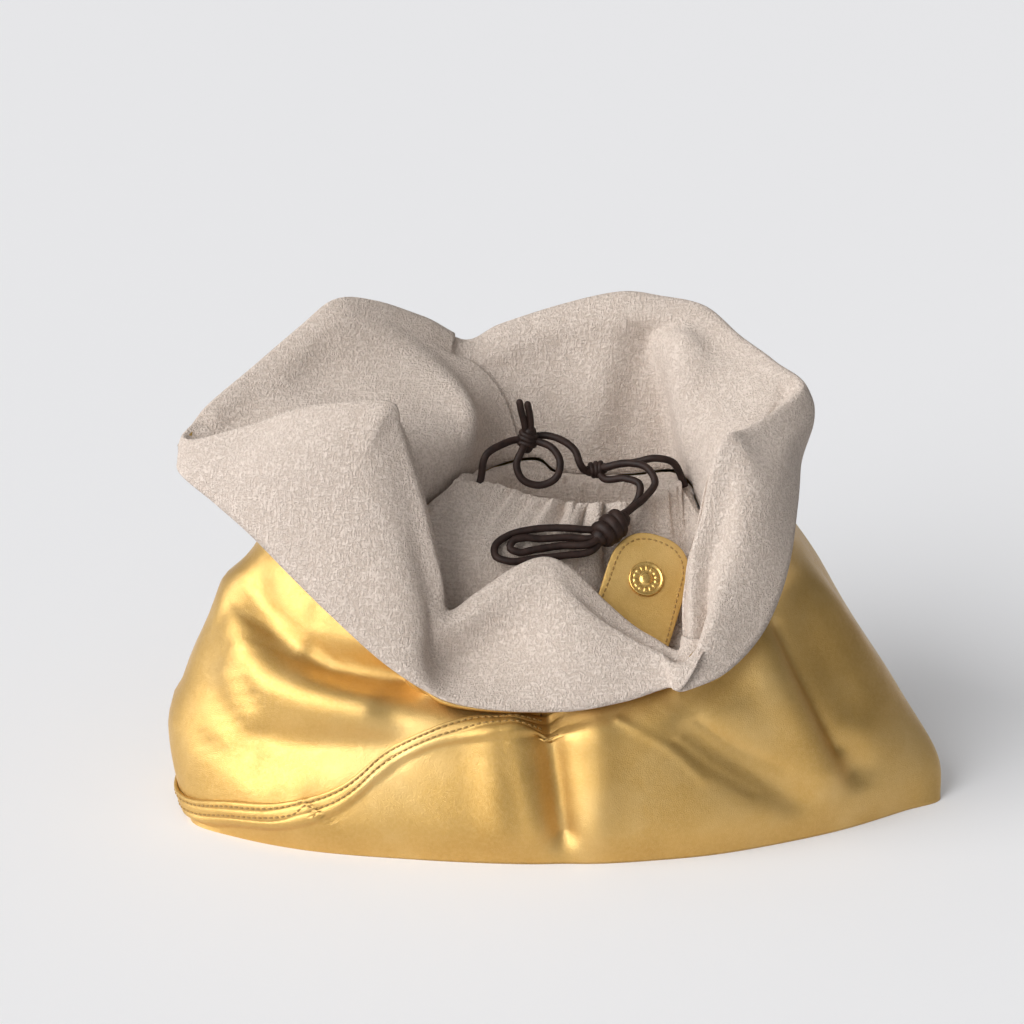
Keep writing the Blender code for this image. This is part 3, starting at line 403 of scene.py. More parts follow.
def from_path(places, path):
    """Distance of each place to a path, signed: positive to the left of its direction."""
    knots = np.arange(len(path), dtype=float)
    line = smooth(knots, np.array(path, float), np.linspace(0, len(path) - 1, 8 * len(path)))
    nearest = np.full(places.shape[:-1], 1e9)
    for start, end in zip(line[:-1], line[1:]):
        run = end - start
        off = places - start
        along = np.clip((off @ run) / (run @ run), 0, 1)
        gap = off - along[..., None] * run
        distance = np.linalg.norm(gap, axis=-1)
        side = np.sign(run[0] * off[..., 1] - run[1] * off[..., 0])
        signed = distance * np.where(side == 0, 1, side)
        nearest = np.where(distance < np.abs(nearest), signed, nearest)
    return nearest


def ridge_height(points, ridges):
    """How far ridges push a surface out. One with a rise below 0 is a hollow."""
    places = seen(points)
    height = np.zeros(points.shape[:-1])
    for rise, width, path in ridges:
        height += rise * np.exp(-((from_path(places, path) / width) ** 2))
    return height


def profile(rows, stations):
    return ring(rows, stations)[:, 0]


def front_only(wall):
    """1 on the front of the bag, falling to 0 behind it."""
    return 0.5 - 0.5 * np.tanh((wall[..., 1] - 10) / 15)


def outward(stations):
    """The level direction from the mouth to the outside at each station."""
    path = ring(HEM, stations) - ring(INNER_FOOT, stations)
    path[:, 2] = 0
    return unit(path)


def towards(points, middle, share):
    """Points moved level towards a middle by a share of the way."""
    moved = points.copy()
    moved[:, :2] += share * (np.array(middle) - moved[:, :2])
    return moved


def pouch_surface(stations, rows):
    neck = ring(NECK, stations)
    slope = ring(SLOPE, stations)
    foot = ring(INNER_FOOT, stations) - [0, 0, SHOULDER_DROP]
    under = foot + outward(stations) * 4 - [0, 0, 7]
    bottom = towards(ring(FOOT, stations), POUCH_MIDDLE, 1.6 * POUCH_TAPER)
    bottom[:, 2] = LEATHER + CLEARANCE
    low = towards(ring(LOW, stations), POUCH_MIDDLE, POUCH_TAPER)
    middle = towards(ring(MID, stations), POUCH_MIDDLE, 2 * POUCH_TAPER)
    gather = slope + 0.75 * (neck - slope)
    centre = neck.mean(axis=0)
    inside = neck + 0.12 * (centre - neck) - [0, 0, 4]
    mouth = neck + 0.3 * (centre - neck) - [0, 0, MOUTH_DEPTH]
    surface = loft([bottom, low, middle, under, foot, slope, gather, neck, inside, mouth], rows)
    depths = np.array([0, 0.25, 1, 1, 0.6, 0.0])[:, None]
    share = smooth(np.array([4, 5, 6, 7, 8, 9.0]), depths, rows)
    share = np.where(np.array(rows) < 4, 0, share[:, 0])
    turn = np.radians(stations)
    wave = np.sin(PLEATS * turn + 1.3 * np.sin(3 * turn) + 0.8 * np.sin(7 * turn))
    push = share[:, None] * (profile(PLEAT_DEPTH, stations) * wave)[None, :]
    away = unit(neck - centre)
    away[:, 2] = 0.5
    return surface + unit(away) * push[..., None]


def between_rows(grid, steps=6):
    """Points on the lines from each row of a grid to the next."""
    shares = np.arange(steps)[:, None, None, None] / steps
    return (grid[None, :-1] * (1 - shares) + grid[None, 1:] * shares).reshape(-1, 3)


def tab_half_width(down):
    """Half the tab's width at a distance down from its rounded end."""
    round_part = np.clip(1 - down / TAB_ROUND, 0, 1) ** TAB_CURVE
    half = TAB_WIDTH / 2 * (1 - round_part) ** (1 / TAB_CURVE)
    return np.where((down >= 0) & (down <= TAB_LENGTH), half, -1)


def tab_outline(count, hole):
    """The tab's outline and a round hole, both seen from the snap, with the tab running down -Y."""
    angles = np.arange(count) * 2 * math.pi / count
    rays = np.stack([np.sin(angles), np.cos(angles)], axis=1)
    lengths = np.linspace(0.5, TAB_LENGTH * 1.2, 1200)
    edge = []
    for ray in rays:
        places = ray * lengths[:, None]
        down = SNAP_FROM_END - places[:, 1]
        inside = np.abs(places[:, 0]) <= tab_half_width(down)
        edge.append(places[inside].tolist()[-1])
    return np.array(edge), rays * hole


def placed(points, base, frame):
    """Points in a piece's own axes, put where the piece lies."""
    return np.asarray(points) @ np.array(frame) + np.array(base)


def frame_along(axis):
    up = unit(np.array(axis, float))
    side = unit(np.cross(up, [0, 1.0, 0.2]))
    return np.array([side, np.cross(up, side), up])


# The solids have this many stations round the bag, so their slopes are read over this step.
STEP = 360 / STATIONS


def around(rows, stations):
    """The way a ring runs at each station, read over the solids' step."""
    return ring(rows, stations + STEP) - ring(rows, stations - STEP)


def crest_axes(stations):
    """At the crest: the way across it, and the way up out of it."""
    crest = ring(CREST, stations)
    tangent = unit(around(CREST, stations))
    top = -unit(ring(HEM, stations) - crest) - unit(ring(INNER_FOOT, stations) - crest)
    top = unit(top - np.sum(top * tangent, axis=1, keepdims=True) * tangent)
    across = outward(stations)
    across = unit(across - np.sum(across * top, axis=1, keepdims=True) * top)
    return unit(np.cross(tangent, top) + TWIST * across), top


def lining_surface(stations, rows):
    """The seen face of the lining: up the inner wall, over the crest and down to the hem."""
    crest = ring(CREST, stations)
    hem = ring(HEM, stations)
    inner = [ring(table, stations) for table in (INNER_FOOT, INNER_MID, INNER_HIGH)]
    turn = profile(CREST_TURN, stations)[:, None]
    out, top = crest_axes(stations)
    out = unit(crest_axes(stations - STEP)[0] + 2 * out + crest_axes(stations + STEP)[0]) * turn
    drop = top * turn
    fall = crest + 0.5 * (hem - crest)
    square = unit(np.cross(around(CREST, stations), hem - crest))
    fall = fall - square * profile(FALL_BOW, stations)[:, None]
    rings = [*inner, crest - out - drop, crest, crest + out - drop, fall, hem]
    return loft(rings, rows)


# How finely each surface is sampled here. The front, which the picture shows, is the finer.
# The lining's foot is row 0, its crest row 4 and its hem row 7.
CREST_ROW = 4
AROUND = np.concatenate([np.arange(10, 170, 1.6), np.arange(170, 370, 0.7)])
LINING_ROWS = np.concatenate(
    [np.arange(0, 3, 0.12), np.arange(3, 5, 0.1), np.arange(5, 7.01, 0.1)]
)

# The wall's rows: below the lap, up its ramp, over the lap and above it. The lap's are given by
# their distance from its edge, and lie closest beside the grooves that the stitches pull in.
BELOW_LAP = np.linspace(0, 1, 38)
RAMP_ROWS = np.linspace(0, 1, 6)[1:]
FROM_EDGE = np.array(
    [10.2, 9.4, 8.7, 8.2, 7.7, 7.0, 6.0, 4.9, 4.0, 3.4, 3.0, 2.6, 2.0, 1.3, 0.7, 0.25, 0.0]
)
LAP_ROWS = 1 - FROM_EDGE / LAP_WIDTH
ABOVE_LAP = np.linspace(0, 1, 38)[1:-1]
SEAM_ROWS = (3.0, 8.2)
GROOVE_DEPTH = 0.5
GROOVE_HALF_WIDTH = 0.8
EDGE_ROUNDING = (0.3, 0.8)
UNDERLAP = 0.4

# Where each piece runs: the stations that it starts and ends at.
SIDE_SPAN = (22 * STEP, 48 * STEP)
FRONT_SPAN = (22 * STEP, 58.8 * STEP)
BACK_SPAN = (57 * STEP, 23 * STEP)

# The lining covers the leather's edge by this much, except beside the notch at the front, at
# this station and over this many degrees.
HEM_COVER = 0.9
SLIVER_AT = 316
SLIVER_WIDTH = 12

# Inside the cuff the leather heads for the fold's middle where the fold is tight. Its middle is
# read from this row, and the leather goes no further than this share of the way. Over the right
# flap's stations it heads there only if the middle lies behind the lining's face.
HEART_FROM = 4.5
HEART_SHARE = 0.8
RIGHT_FLAP = (308, 350)
FALL_ROW = 6.3
FALL_TO_HEM = 0.7

# The wall's folds end at this row, under the cuff, and a ledge fades over this much of its ends.
FOLDS_END = 5.0
FOLDS_FADE = 0.8
LEDGE_FADE = 16


def fold_hearts(rows, lining):
    """For each row from the crest outwards, the middle of the cuff's fold."""

    def at(places):
        index = np.interp(places, rows, np.arange(len(rows)))
        low = np.minimum(index.astype(int), len(rows) - 2)
        share = (index - low)[:, None, None]
        return lining[low] * (1 - share) + lining[low + 1] * share

    outer = np.maximum(rows, HEART_FROM)
    return (at(outer) + at(2 * CREST_ROW - outer)) / 2


def into_fold(inset, stations, rows, lining, faces, hearts):
    """Steps from the lining's face into the cuff's fold, never as far as the fold's middle."""
    to_heart = hearts - lining
    room = np.linalg.norm(to_heart, axis=-1, keepdims=True)
    near = np.clip(2.2 - room / (1.6 * inset), 0, 1)
    near = np.maximum(near, np.clip((5.0 - rows) / 0.4, 0, 1)[:, None, None])
    inside = (unit(to_heart) * -faces).sum(axis=-1, keepdims=True)
    start, end = RIGHT_FLAP
    right = np.clip((stations - start) / 3, 0, 1) * np.clip((end - stations) / 5, 0, 1)
    near = near * (1 - right[None, :, None] * (1 - np.clip(3 * inside, 0, 1)))
    way = unit(-faces * (1 - near) + unit(to_heart) * near)
    return way * np.minimum(inset, np.maximum(HEART_SHARE * room, 0.5 * inset * (1 - near)))


def leather_surface(stations, rows, lining, faces, hearts):
    """The gold face of the leather, its inner face, and the row numbers of its lap and its edge."""
    inset = LINING + LEATHER + profile(SHEET_GAP, stations)[:, None]
    inset = inset + ROOM_UNDER_CREST * np.clip(HEART_FROM - rows, 0, 0.5)[:, None, None] * 2
    step = into_fold(inset, stations, rows, lining, faces, hearts)
    turned = lining + step
    turned_back = lining + step * (1 - LEATHER / inset)
    half_way = int(np.argmin(np.abs(rows - FALL_ROW)))
    down = unit(turned[-1] - turned[half_way])
    sliver = np.exp(-((apart(stations, SLIVER_AT) / SLIVER_WIDTH) ** 2))
    showing = -HEM_COVER + (GOLD_SHOWING_AT_HEM + HEM_COVER) * sliver
    share = np.clip((rows - FALL_ROW) / FALL_TO_HEM, 0, 1)
    reach = down * (share[:, None] * showing)[..., None]
    turned += reach
    turned_back += reach
    middle = turned[half_way] - faces[half_way] * ROOM_IN_CUFF
    rings = [ring(table, stations) for table in (FOOT, LOW, MID, SHOULDER, HIGH)]
    rings = np.array([*rings, middle, turned[0]])
    seam = profile(SEAM, stations)
    columns, reads = [], []
    scan = np.linspace(0, 6, 121)
    for k, high in enumerate(seam):
        path = loft(rings[:, k : k + 1], scan)[:, 0]
        travelled = distance_along(path)
        top = np.interp(high, scan, travelled)
        margin = max(np.interp(top - LAP_WIDTH, travelled, scan), 0.2)
        ramp = max(np.interp(top - LAP_WIDTH - LAP_RAMP, travelled, scan), 0.15)
        read = np.concatenate(
            [
                ramp * BELOW_LAP,
                ramp + (margin - ramp) * RAMP_ROWS,
                margin + (high - margin) * LAP_ROWS,
                high + (6 - high) * ABOVE_LAP,
            ]
        )
        column = loft(rings[:, k : k + 1], read)[:, 0]
        inner = read > 5
        share = (read[inner] - 5)[:, None]
        column[inner] = rings[5, k] + share * (rings[6, k] - rings[5, k])
        columns.append(column)
        reads.append(read)
    wall = np.array(columns).transpose(1, 0, 2)
    front = front_only(wall)
    push = (ridge_height(wall, RIDGES) + soft_ledges(wall)) * front
    push = push + ridge_height(wall, CREASES) * front
    push = push * np.clip((FOLDS_END - np.array(reads).T) / FOLDS_FADE, 0, 1)
    wall = wall + faces_out(wall) * push[..., None]
    wall[:, :, 2] = np.maximum(wall[:, :, 2], 0)
    face = np.concatenate([wall, turned])
    normals = faces_out(face)
    back = face - normals * LEATHER
    back[len(wall) :] = turned_back
    margin_row = len(BELOW_LAP) + len(RAMP_ROWS) - 1
    return face, back, normals, margin_row, margin_row + len(LAP_ROWS)


def soft_ledges(points):
    """The ledges of the solids, each a drop to the left of its path, faded out at both its ends."""
    places = seen(points)
    height = np.zeros(points.shape[:-1])
    for rise, width, reach, path in LEDGES:
        distance = from_path(places, path)
        ends = np.array([path[0], path[-1]], float)
        gone = np.min([np.linalg.norm(places - end, axis=-1) for end in ends], axis=0)
        fade = np.clip(gone / LEDGE_FADE, 0, 1)
        drop = rise * fade * fade * np.tanh(distance / width)
        height -= drop * np.exp(-((distance / reach) ** 2))
    return height


def linked(name, data):
    """A new object of this data, in the scene."""
    obj = bpy.data.objects.new(name, data)
    bpy.context.scene.collection.objects.link(obj)
    return obj


def add_mesh(name, points, faces, look):
    """A smooth mesh that rides on the bag. points are in millimetres."""
    mesh = bpy.data.meshes.new(name)
    mesh.from_pydata((np.asarray(points) * MM).tolist(), [], [list(face) for face in faces])
    mesh.materials.append(look)
    mesh.polygons.foreach_set("use_smooth", [True] * len(mesh.polygons))
    obj = linked(name, mesh)
    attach(obj, "root")
    return obj


def grid_faces(cells):
    """One quad for each cell, where cells is True, of a grid whose rows close on themselves."""
    columns = cells.shape[1]
    i, j = np.nonzero(cells)
    a = i * columns + j
    b = i * columns + (j + 1) % columns
    return np.stack([a, b, b + columns, a + columns], axis=1)


def all_faces(rows, columns):
    """The quads of a whole grid."""
    return grid_faces(np.ones((rows - 1, columns), bool)).tolist()


def capped_faces(rows, columns):
    """The quads of a whole grid, and one face across each of its ends."""
    ends = [tuple(range(columns))[::-1], tuple(range((rows - 1) * columns, rows * columns))]
    return all_faces(rows, columns) + ends


def used_only(points, faces):
    """The points that a face uses, and the faces numbered to match."""
    used = np.unique(np.concatenate([np.ravel(face) for face in faces]))
    index = np.zeros(len(points), int)
    index[used] = np.arange(len(used))
    return points[used], [index[np.asarray(face)] for face in faces]


def add_sheet(name, front, back, cells, look, slot, cap=None):
    """A closed sheet between two grids. A fan closes row cap on both sides."""
    rows, columns = front.shape[:2]
    count = rows * columns
    points = np.concatenate([front.reshape(-1, 3), back.reshape(-1, 3)])
    face = grid_faces(cells)
    edges = np.concatenate([face[:, [k, (k + 1) % 4]] for k in range(4)])
    if cap is not None:
        points = np.concatenate([points, [front[cap].mean(axis=0), back[cap].mean(axis=0)]])
    pairs = set(map(tuple, edges.tolist()))
    rim = [edge for edge in pairs if edge[::-1] not in pairs]
    faces = [*face.tolist(), *(count + face[:, ::-1]).tolist()]
    for a, b in sorted(rim):
        if cap is not None and a // columns == cap and b // columns == cap:
            faces.append((b, a, 2 * count))
            faces.append((count + a, count + b, 2 * count + 1))
        else:
            faces.append((b, a, count + a, count + b))
    points, faces = used_only(points, faces)
    return add_mesh(name, points, faces, look)


def span(stations, start, end):
    """Which columns have their station between start and end."""
    return (stations - start) % 360 < (end - start) % 360


def apart(stations, place):
    """How many degrees each station lies from a place."""
    return np.abs((stations - place + 180) % 360 - 180)


# A stitch is a small rounded bar. Each row is a share of its length, then a share of its size.
BAR_ROWS = [(-0.5, 0.15), (-0.38, 0.8), (0.0, 1.0), (0.38, 0.8), (0.5, 0.15)]
BAR_SIDES = 6
STITCH_HEIGHT = 0.62


def stitches(name, lines, look, slot, pitch=3.4, length=2.5, width=1.1):
    """Threads laid along lines of (points, normals)."""
    around_bar = np.arange(BAR_SIDES) * math.pi / 3
    bar = capped_faces(len(BAR_ROWS), BAR_SIDES)
    points, faces = [], []
    for line, normals in lines:
        travelled = distance_along(line)
        count = int(travelled[-1] / pitch)
        for n in range(count):
            at = (n + 0.5) * travelled[-1] / count
            before, after = read_at([at - 1, at + 1], travelled, line)
            middle = (before + after) / 2
            up = unit(read_at(at, travelled, normals))
            along = unit(after - before)
            side = np.cross(up, along)
            base = len(points)
            for share, size in BAR_ROWS:
                for turn in around_bar:
                    across = side * math.cos(turn) * width / 2 * size
                    rise = up * math.sin(turn) * STITCH_HEIGHT * size
                    points.append(middle + along * share * length + across + rise)
            faces += [[base + corner for corner in face[::-1]] for face in bar]
    return add_mesh(name, np.array(points), faces, look)


TUBE_SIDES = 14
# How a tube's end rounds off: how far before its end, in radii, and its size there.
TUBE_ENDS = [(-0.8, 0.55), (-0.45, 0.86)]


def tube(path, radius):
    """A closed tube along a path, with rounded ends, as points and faces."""
    path = np.asarray(path, float)
    tangents = unit(np.gradient(path, axis=0))
    normal = unit(np.cross(tangents[0], [0.3, 0.5, 0.81]))
    frames = []
    for tangent in tangents:
        normal = unit(normal - (normal @ tangent) * tangent)
        frames.append((normal, np.cross(tangent, normal)))
    angles = np.arange(TUBE_SIDES) * 2 * math.pi / TUBE_SIDES
    stops = [(0, shift, size) for shift, size in TUBE_ENDS]
    stops += [(k, 0.0, 1.0) for k in range(len(path))]
    stops += [(len(path) - 1, -shift, size) for shift, size in TUBE_ENDS[::-1]]
    points = []
    for k, shift, size in stops:
        a, b = frames[k]
        reach = radius * size
        centre = path[k] + tangents[k] * shift * radius
        points += [centre + reach * (a * math.cos(t) + b * math.sin(t)) for t in angles]
    return np.array(points), capped_faces(len(stops), TUBE_SIDES)


def merged(parts):
    """Several (points, faces) as one."""
    points, faces, base = [], [], 0
    for some, corners in parts:
        points.append(np.asarray(some))
        faces += [tuple(int(c) + base for c in face) for face in corners]
        base += len(some)
    return np.concatenate(points), faces


# Materials. A colour is linear, as the shaders take it.
GOLD = (0.66, 0.41, 0.125)
GOLD_DEEP = (0.56, 0.33, 0.085)
GOLD_PALE = (0.78, 0.54, 0.22)
BEIGE = (0.77, 0.65, 0.565)
BEIGE_PALE = (0.84, 0.725, 0.64)
BEIGE_DEEP = (0.46, 0.355, 0.285)
BROWN = (0.020, 0.011, 0.009)
BRASS = (0.70, 0.47, 0.17)
THREAD = (0.50, 0.31, 0.10)


class Look:
    """A Principled material that is built up from a few procedural nodes."""

    def __init__(self, name, colour, roughness, metallic=0.0):
        self.made = bpy.data.materials.new(name)
        self.made.use_nodes = True
        self.tree = self.made.node_tree
        self.shader = self.tree.nodes["Principled BSDF"]
        self.shader.inputs["Base Color"].default_value = (*colour, 1)
        self.shader.inputs["Roughness"].default_value = roughness
        self.shader.inputs["Metallic"].default_value = metallic
        self.place = self.tree.nodes.new("ShaderNodeTexCoord").outputs["Object"]
        self.bumped = None

    def node(self, kind, inputs=None, **settings):
        made = self.tree.nodes.new(kind)
        for key, value in settings.items():
            setattr(made, key, value)
        for key, value in (inputs or {}).items():
            if isinstance(value, bpy.types.NodeSocket):
                self.tree.links.new(value, made.inputs[key])
            else:
                made.inputs[key].default_value = value
        return made

    def noise(self, scale, detail=3.0, roughness=0.55):
        values = {"Vector": self.place, "Scale": scale, "Detail": detail, "Roughness": roughness}
        return self.node("ShaderNodeTexNoise", values).outputs["Fac"]

    def cells(self, scale):
        values = {"Vector": self.place, "Scale": scale}
        made = self.node("ShaderNodeTexVoronoi", values, feature="DISTANCE_TO_EDGE")
        return made.outputs["Distance"]

    def ramp(self, value, *stops):
        made = self.node("ShaderNodeValToRGB", {"Fac": value})
        points = made.color_ramp.elements
        for k, (at, colour) in enumerate(stops):
            point = points[k] if k < 2 else points.new(at)
            point.position = at
            point.color = (*colour, 1)
        return made.outputs["Color"]

    def between(self, value, low, high, to_low, to_high):
        values = {"Value": value, "From Min": low, "From Max": high}
        values |= {"To Min": to_low, "To Max": to_high}
        return self.node("ShaderNodeMapRange", values).outputs["Result"]

    def maths(self, operation, a, b):
        made = self.node("ShaderNodeMath", {0: a, 1: b}, operation=operation)
        return made.outputs[0]

    def mix(self, share, a, b):
        made = self.node("ShaderNodeMix", data_type="RGBA")
        for key, value in ((0, share), (6, a), (7, b)):
            if isinstance(value, bpy.types.NodeSocket):
                self.tree.links.new(value, made.inputs[key])
            else:
                made.inputs[key].default_value = value if key == 0 else (*value, 1)
        return made.outputs[2]

    def set(self, name, value):
        if isinstance(value, bpy.types.NodeSocket):
            self.tree.links.new(value, self.shader.inputs[name])
        else:
            self.shader.inputs[name].default_value = value

    def bump(self, height, depth, strength=1.0):
        """Adds a relief. depth is in metres for a height of 1."""
        values = {"Height": height, "Distance": depth, "Strength": strength}
        if self.bumped is not None:
            values["Normal"] = self.bumped
        self.bumped = self.node("ShaderNodeBump", values).outputs["Normal"]
        self.set("Normal", self.bumped)


def gold_leather():
    look = Look("gold_leather", GOLD, 0.36, 0.72)
    broad = look.noise(16, 4, 0.6)
    fine = look.noise(520, 3, 0.6)
    colour = look.ramp(broad, (0.25, GOLD_DEEP), (0.5, GOLD), (0.78, GOLD_PALE))
    speck = look.between(fine, 0.4, 0.75, 0.0, 0.35)
    colour = look.mix(speck, colour, GOLD_PALE)
    grain = look.cells(1250)
    valley = look.between(grain, 0.0, 0.14, 0.22, 0.0)
    look.set("Base Color", look.mix(valley, colour, GOLD_DEEP))
    look.set("Roughness", look.between(look.noise(70, 4, 0.65), 0.3, 0.7, 0.31, 0.41))
    look.bump(look.noise(42, 3, 0.5), 0.0010, 0.22)
    look.bump(look.noise(260, 4, 0.6), 0.0004, 0.36)
    look.bump(look.between(grain, 0.0, 0.25, 0.0, 1.0), 0.00012, 0.5)
    return look.made


def beige_lining():
    look = Look("beige_lining", BEIGE, 0.88)
    broad = look.noise(11, 4, 0.6)
    colour = look.ramp(broad, (0.3, (0.70, 0.585, 0.50)), (0.7, BEIGE))
    threads = None
    for way in ((1, 1, 0.16), (0.16, 1, 1), (1, 0.16, 1)):
        drawn = look.node("ShaderNodeVectorMath", {0: look.place, 1: way}, operation="MULTIPLY")
        values = {"Vector": drawn.outputs["Vector"], "Scale": 950.0}
        values |= {"Detail": 2.0, "Distortion": 0.6}
        line = look.node("ShaderNodeTexNoise", values).outputs["Fac"]
        threads = line if threads is None else look.maths("ADD", threads, line)
    threads = look.between(threads, 1.32, 1.68, 0.0, 1.0)
    nap = look.noise(1100, 3, 0.7)
    threads = look.maths("ADD", threads, look.between(nap, 0.3, 0.7, -0.35, 0.35))
    speck = look.between(threads, 0.0, 0.5, 0.42, 0.0)
    colour = look.mix(look.between(threads, 0.55, 1.1, 0.0, 0.55), colour, BEIGE_PALE)
    look.set("Base Color", look.mix(speck, colour, BEIGE_DEEP))
    look.set("Sheen Weight", 0.3)
    look.set("Sheen Roughness", 0.5)
    look.set("Sheen Tint", (0.85, 0.78, 0.72, 1))
    look.bump(look.noise(38, 4, 0.6), 0.0014, 0.3)
    look.bump(threads, 0.0006, 0.95)
    return look.made


def brown_cord():
    look = Look("brown_cord", BROWN, 0.5)
    look.set("Specular IOR Level", 0.25)
    streak = look.noise(260, 3, 0.6)
    colour = look.ramp(streak, (0.3, (0.011, 0.0052, 0.004)), (0.7, (0.036, 0.018, 0.013)))
    look.set("Base Color", colour)
    look.set("Roughness", look.between(streak, 0.3, 0.7, 0.46, 0.64))
    look.bump(look.noise(500, 3, 0.6), 0.0003, 0.6)
    look.bump(look.noise(110, 2, 0.5), 0.0006, 0.4)
    return look.made


def gold_metal():
    look = Look("gold_metal", BRASS, 0.33, 1.0)
    wear = look.noise(300, 4, 0.6)
    look.set("Base Color", look.ramp(wear, (0.3, (0.60, 0.36, 0.10)), (0.7, (0.80, 0.54, 0.19))))
    look.set("Roughness", look.between(wear, 0.3, 0.7, 0.2, 0.34))
    look.bump(look.noise(700, 2, 0.5), 0.0001, 0.3)
    return look.made


def sewing_thread():
    look = Look("sewing_thread", THREAD, 0.55, 0.25)
    values = {"Vector": look.place, "Scale": 900.0, "Distortion": 1.0}
    twist = look.node("ShaderNodeTexWave", values).outputs["Fac"]
    look.set("Base Color", look.ramp(twist, (0.2, (0.26, 0.14, 0.035)), (0.8, THREAD)))
    look.bump(twist, 0.0001, 0.5)
    return look.made


def add_leather(stations, lining, faces, rows, looks):
    """The lower panel, and the side panel that its lap lies on. The stitches are laid on what is
    returned: the lap's face, its normals, the row of its edge and its columns."""
    keep = rows >= CREST_ROW - 1e-6
    face, back, normals, margin_row, edge = leather_surface(
        stations, rows[keep], lining[keep], faces[keep], fold_hearts(rows, lining)[keep]
    )
    back[0] = face[0] - unit(normals[0] * [1, 1, 0]) * LEATHER
    back[0, :, 2] = LEATHER
    columns = len(stations)
    side = span(stations, *SIDE_SPAN)
    cells = np.ones((len(face) - 1, columns), bool)
    cells[edge:, side] = False
    start, end = SIDE_SPAN
    beyond = np.minimum(apart(stations, start), apart(stations, end))
    beyond = np.where(span(stations, start, end + 1e-6), 0, beyond)
    share = np.clip(1 - beyond / STEP, 0, 1)
    rise = np.zeros(len(face))
    ramp_start = margin_row - len(RAMP_ROWS)
    ramp = np.linspace(0, 1, len(RAMP_ROWS) + 1)
    rise[ramp_start : margin_row + 1] = ramp * ramp * (3 - 2 * ramp)
    rise[margin_row : edge + 1] = 1
    lift = normals * (rise[:, None] * share * (LEATHER + CLEARANCE))[..., None]
    front = face + lift
    ease = np.zeros(len(face))
    ease[edge - 1 : edge + 1] = EDGE_ROUNDING
    for k, distance in enumerate(FROM_EDGE):
        gap = min(abs(distance - seam) for seam in SEAM_ROWS)
        ease[margin_row + 1 + k] += GROOVE_DEPTH * max(0.0, 1 - gap / GROOVE_HALF_WIDTH)
    front = front - normals * (ease[:, None] * share)[..., None]
    gold = (looks["gold"], "gold_leather")
    lower = add_sheet("lower_panel_leather", front, back + lift, cells, *gold, cap=0)
    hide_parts("lower_panel")
    inside = np.zeros_like(cells)
    inside[margin_row:, side] = True
    first = int(np.nonzero(side & ~np.roll(side, 1))[0][0])
    last = int(np.nonzero(~side & np.roll(side, 1))[0][0])
    under, under_back = face.copy(), back.copy()
    for grid in (under, under_back):
        grid[:, first] += UNDERLAP * (grid[:, first + 1] - grid[:, first])
        grid[:, last] += UNDERLAP * (grid[:, last - 1] - grid[:, last])
        grid[margin_row] += UNDERLAP * (grid[margin_row + 1] - grid[margin_row])
    panel = add_sheet("side_panel_leather", under, under_back, inside, *gold)
    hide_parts("side_panel")
    return front, normals, edge, side


def rows_between(grid, normals, edge, inset, chosen):
    """The line on the lap that lies a distance below its edge, for the chosen columns."""
    line, facing = [], []
    for column in np.nonzero(chosen)[0]:
        down = grid[edge::-1, column]
        travelled = distance_along(down)
        line.append(read_at(inset, travelled, down))
        facing.append(read_at(inset, travelled, normals[edge::-1, column]))
    return np.array(line), unit(np.array(facing))


# The front flap's free corner: over how many degrees and from which row it curls, by what share
# its fall shortens, how far it stands off and how far its tip reaches to the right.
CURL_SPAN = 9.0
CURL_FROM = 4.2
CURL_SHORTENS = 0.42
CURL_LIFT = 2.2
TIP_REACH = 7.0


def curled(stations, face, faces, end):
    """The front flap's free corner: its hem runs up to a small tip that stands off the bag."""
    share = np.clip(1 - (end - stations) / CURL_SPAN, 0, 1) * (stations <= end + 1)
    share = share**1.5
    face = face.copy()
    for column in np.nonzero(share > 0)[0]:
        read = LINING_ROWS.copy()
        fall = read > CURL_FROM
        shorter = 1 - CURL_SHORTENS * share[column]
        read[fall] = CURL_FROM + (read[fall] - CURL_FROM) * shorter
        free = np.clip(LINING_ROWS - CREST_ROW, 0, 1)
        face[:, column] = read_at(read, LINING_ROWS, face[:, column])
        face[:, column] += faces[:, column] * (CURL_LIFT * share[column] * free)[:, None]
        face[:, column, 0] += TIP_REACH * share[column] * free
    return face


def add_lining(stations, lining, faces, looks):
    """The two flaps. The front one lies over the back one at the back left and the front right."""
    start, end = FRONT_FLAP
    near = np.minimum(apart(stations, start), apart(stations, end))
    beyond = np.maximum(near - FLAP_OVERLAP, 0)
    share = np.exp(-((beyond / FLAP_RAMP) ** 2))[None, :, None]
    under = lining + faces * share * EDGE_LIFT
    over = under + faces * share * (LINING + CLEARANCE)
    for name, face, (a, b) in (
        ("front_lining_flap", over, FRONT_SPAN),
        ("back_lining_flap", under, BACK_SPAN),
    ):
        cells = np.zeros((len(face) - 1, len(stations)), bool)
        cells[:, span(stations, a, b)] = True
        if name == "front_lining_flap":
            face = curled(stations, face, faces, b)
        back = face - faces * LINING
        sheet = add_sheet(name + "_cloth", back, face, cells, looks["beige"], "beige_lining")
        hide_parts(name)


# Each set of gathers: how many go round, their depth, the row where they are deepest, over how
# many rows they spread, and three numbers that make them uneven.
GATHERS = (
    (47, 4.8, 7.0, 1.1, (2.1, 1.2, 0.0)),
    (83, 1.8, 7.3, 0.8, (1.4, 2.2, 1.0)),
    (19, 8.0, 5.9, 1.0, (1.0, 1.5, 2.0)),
)
# Beside the tab they are lower: the station, over how many degrees and by what share.
CALM = (310, 22, 0.75)


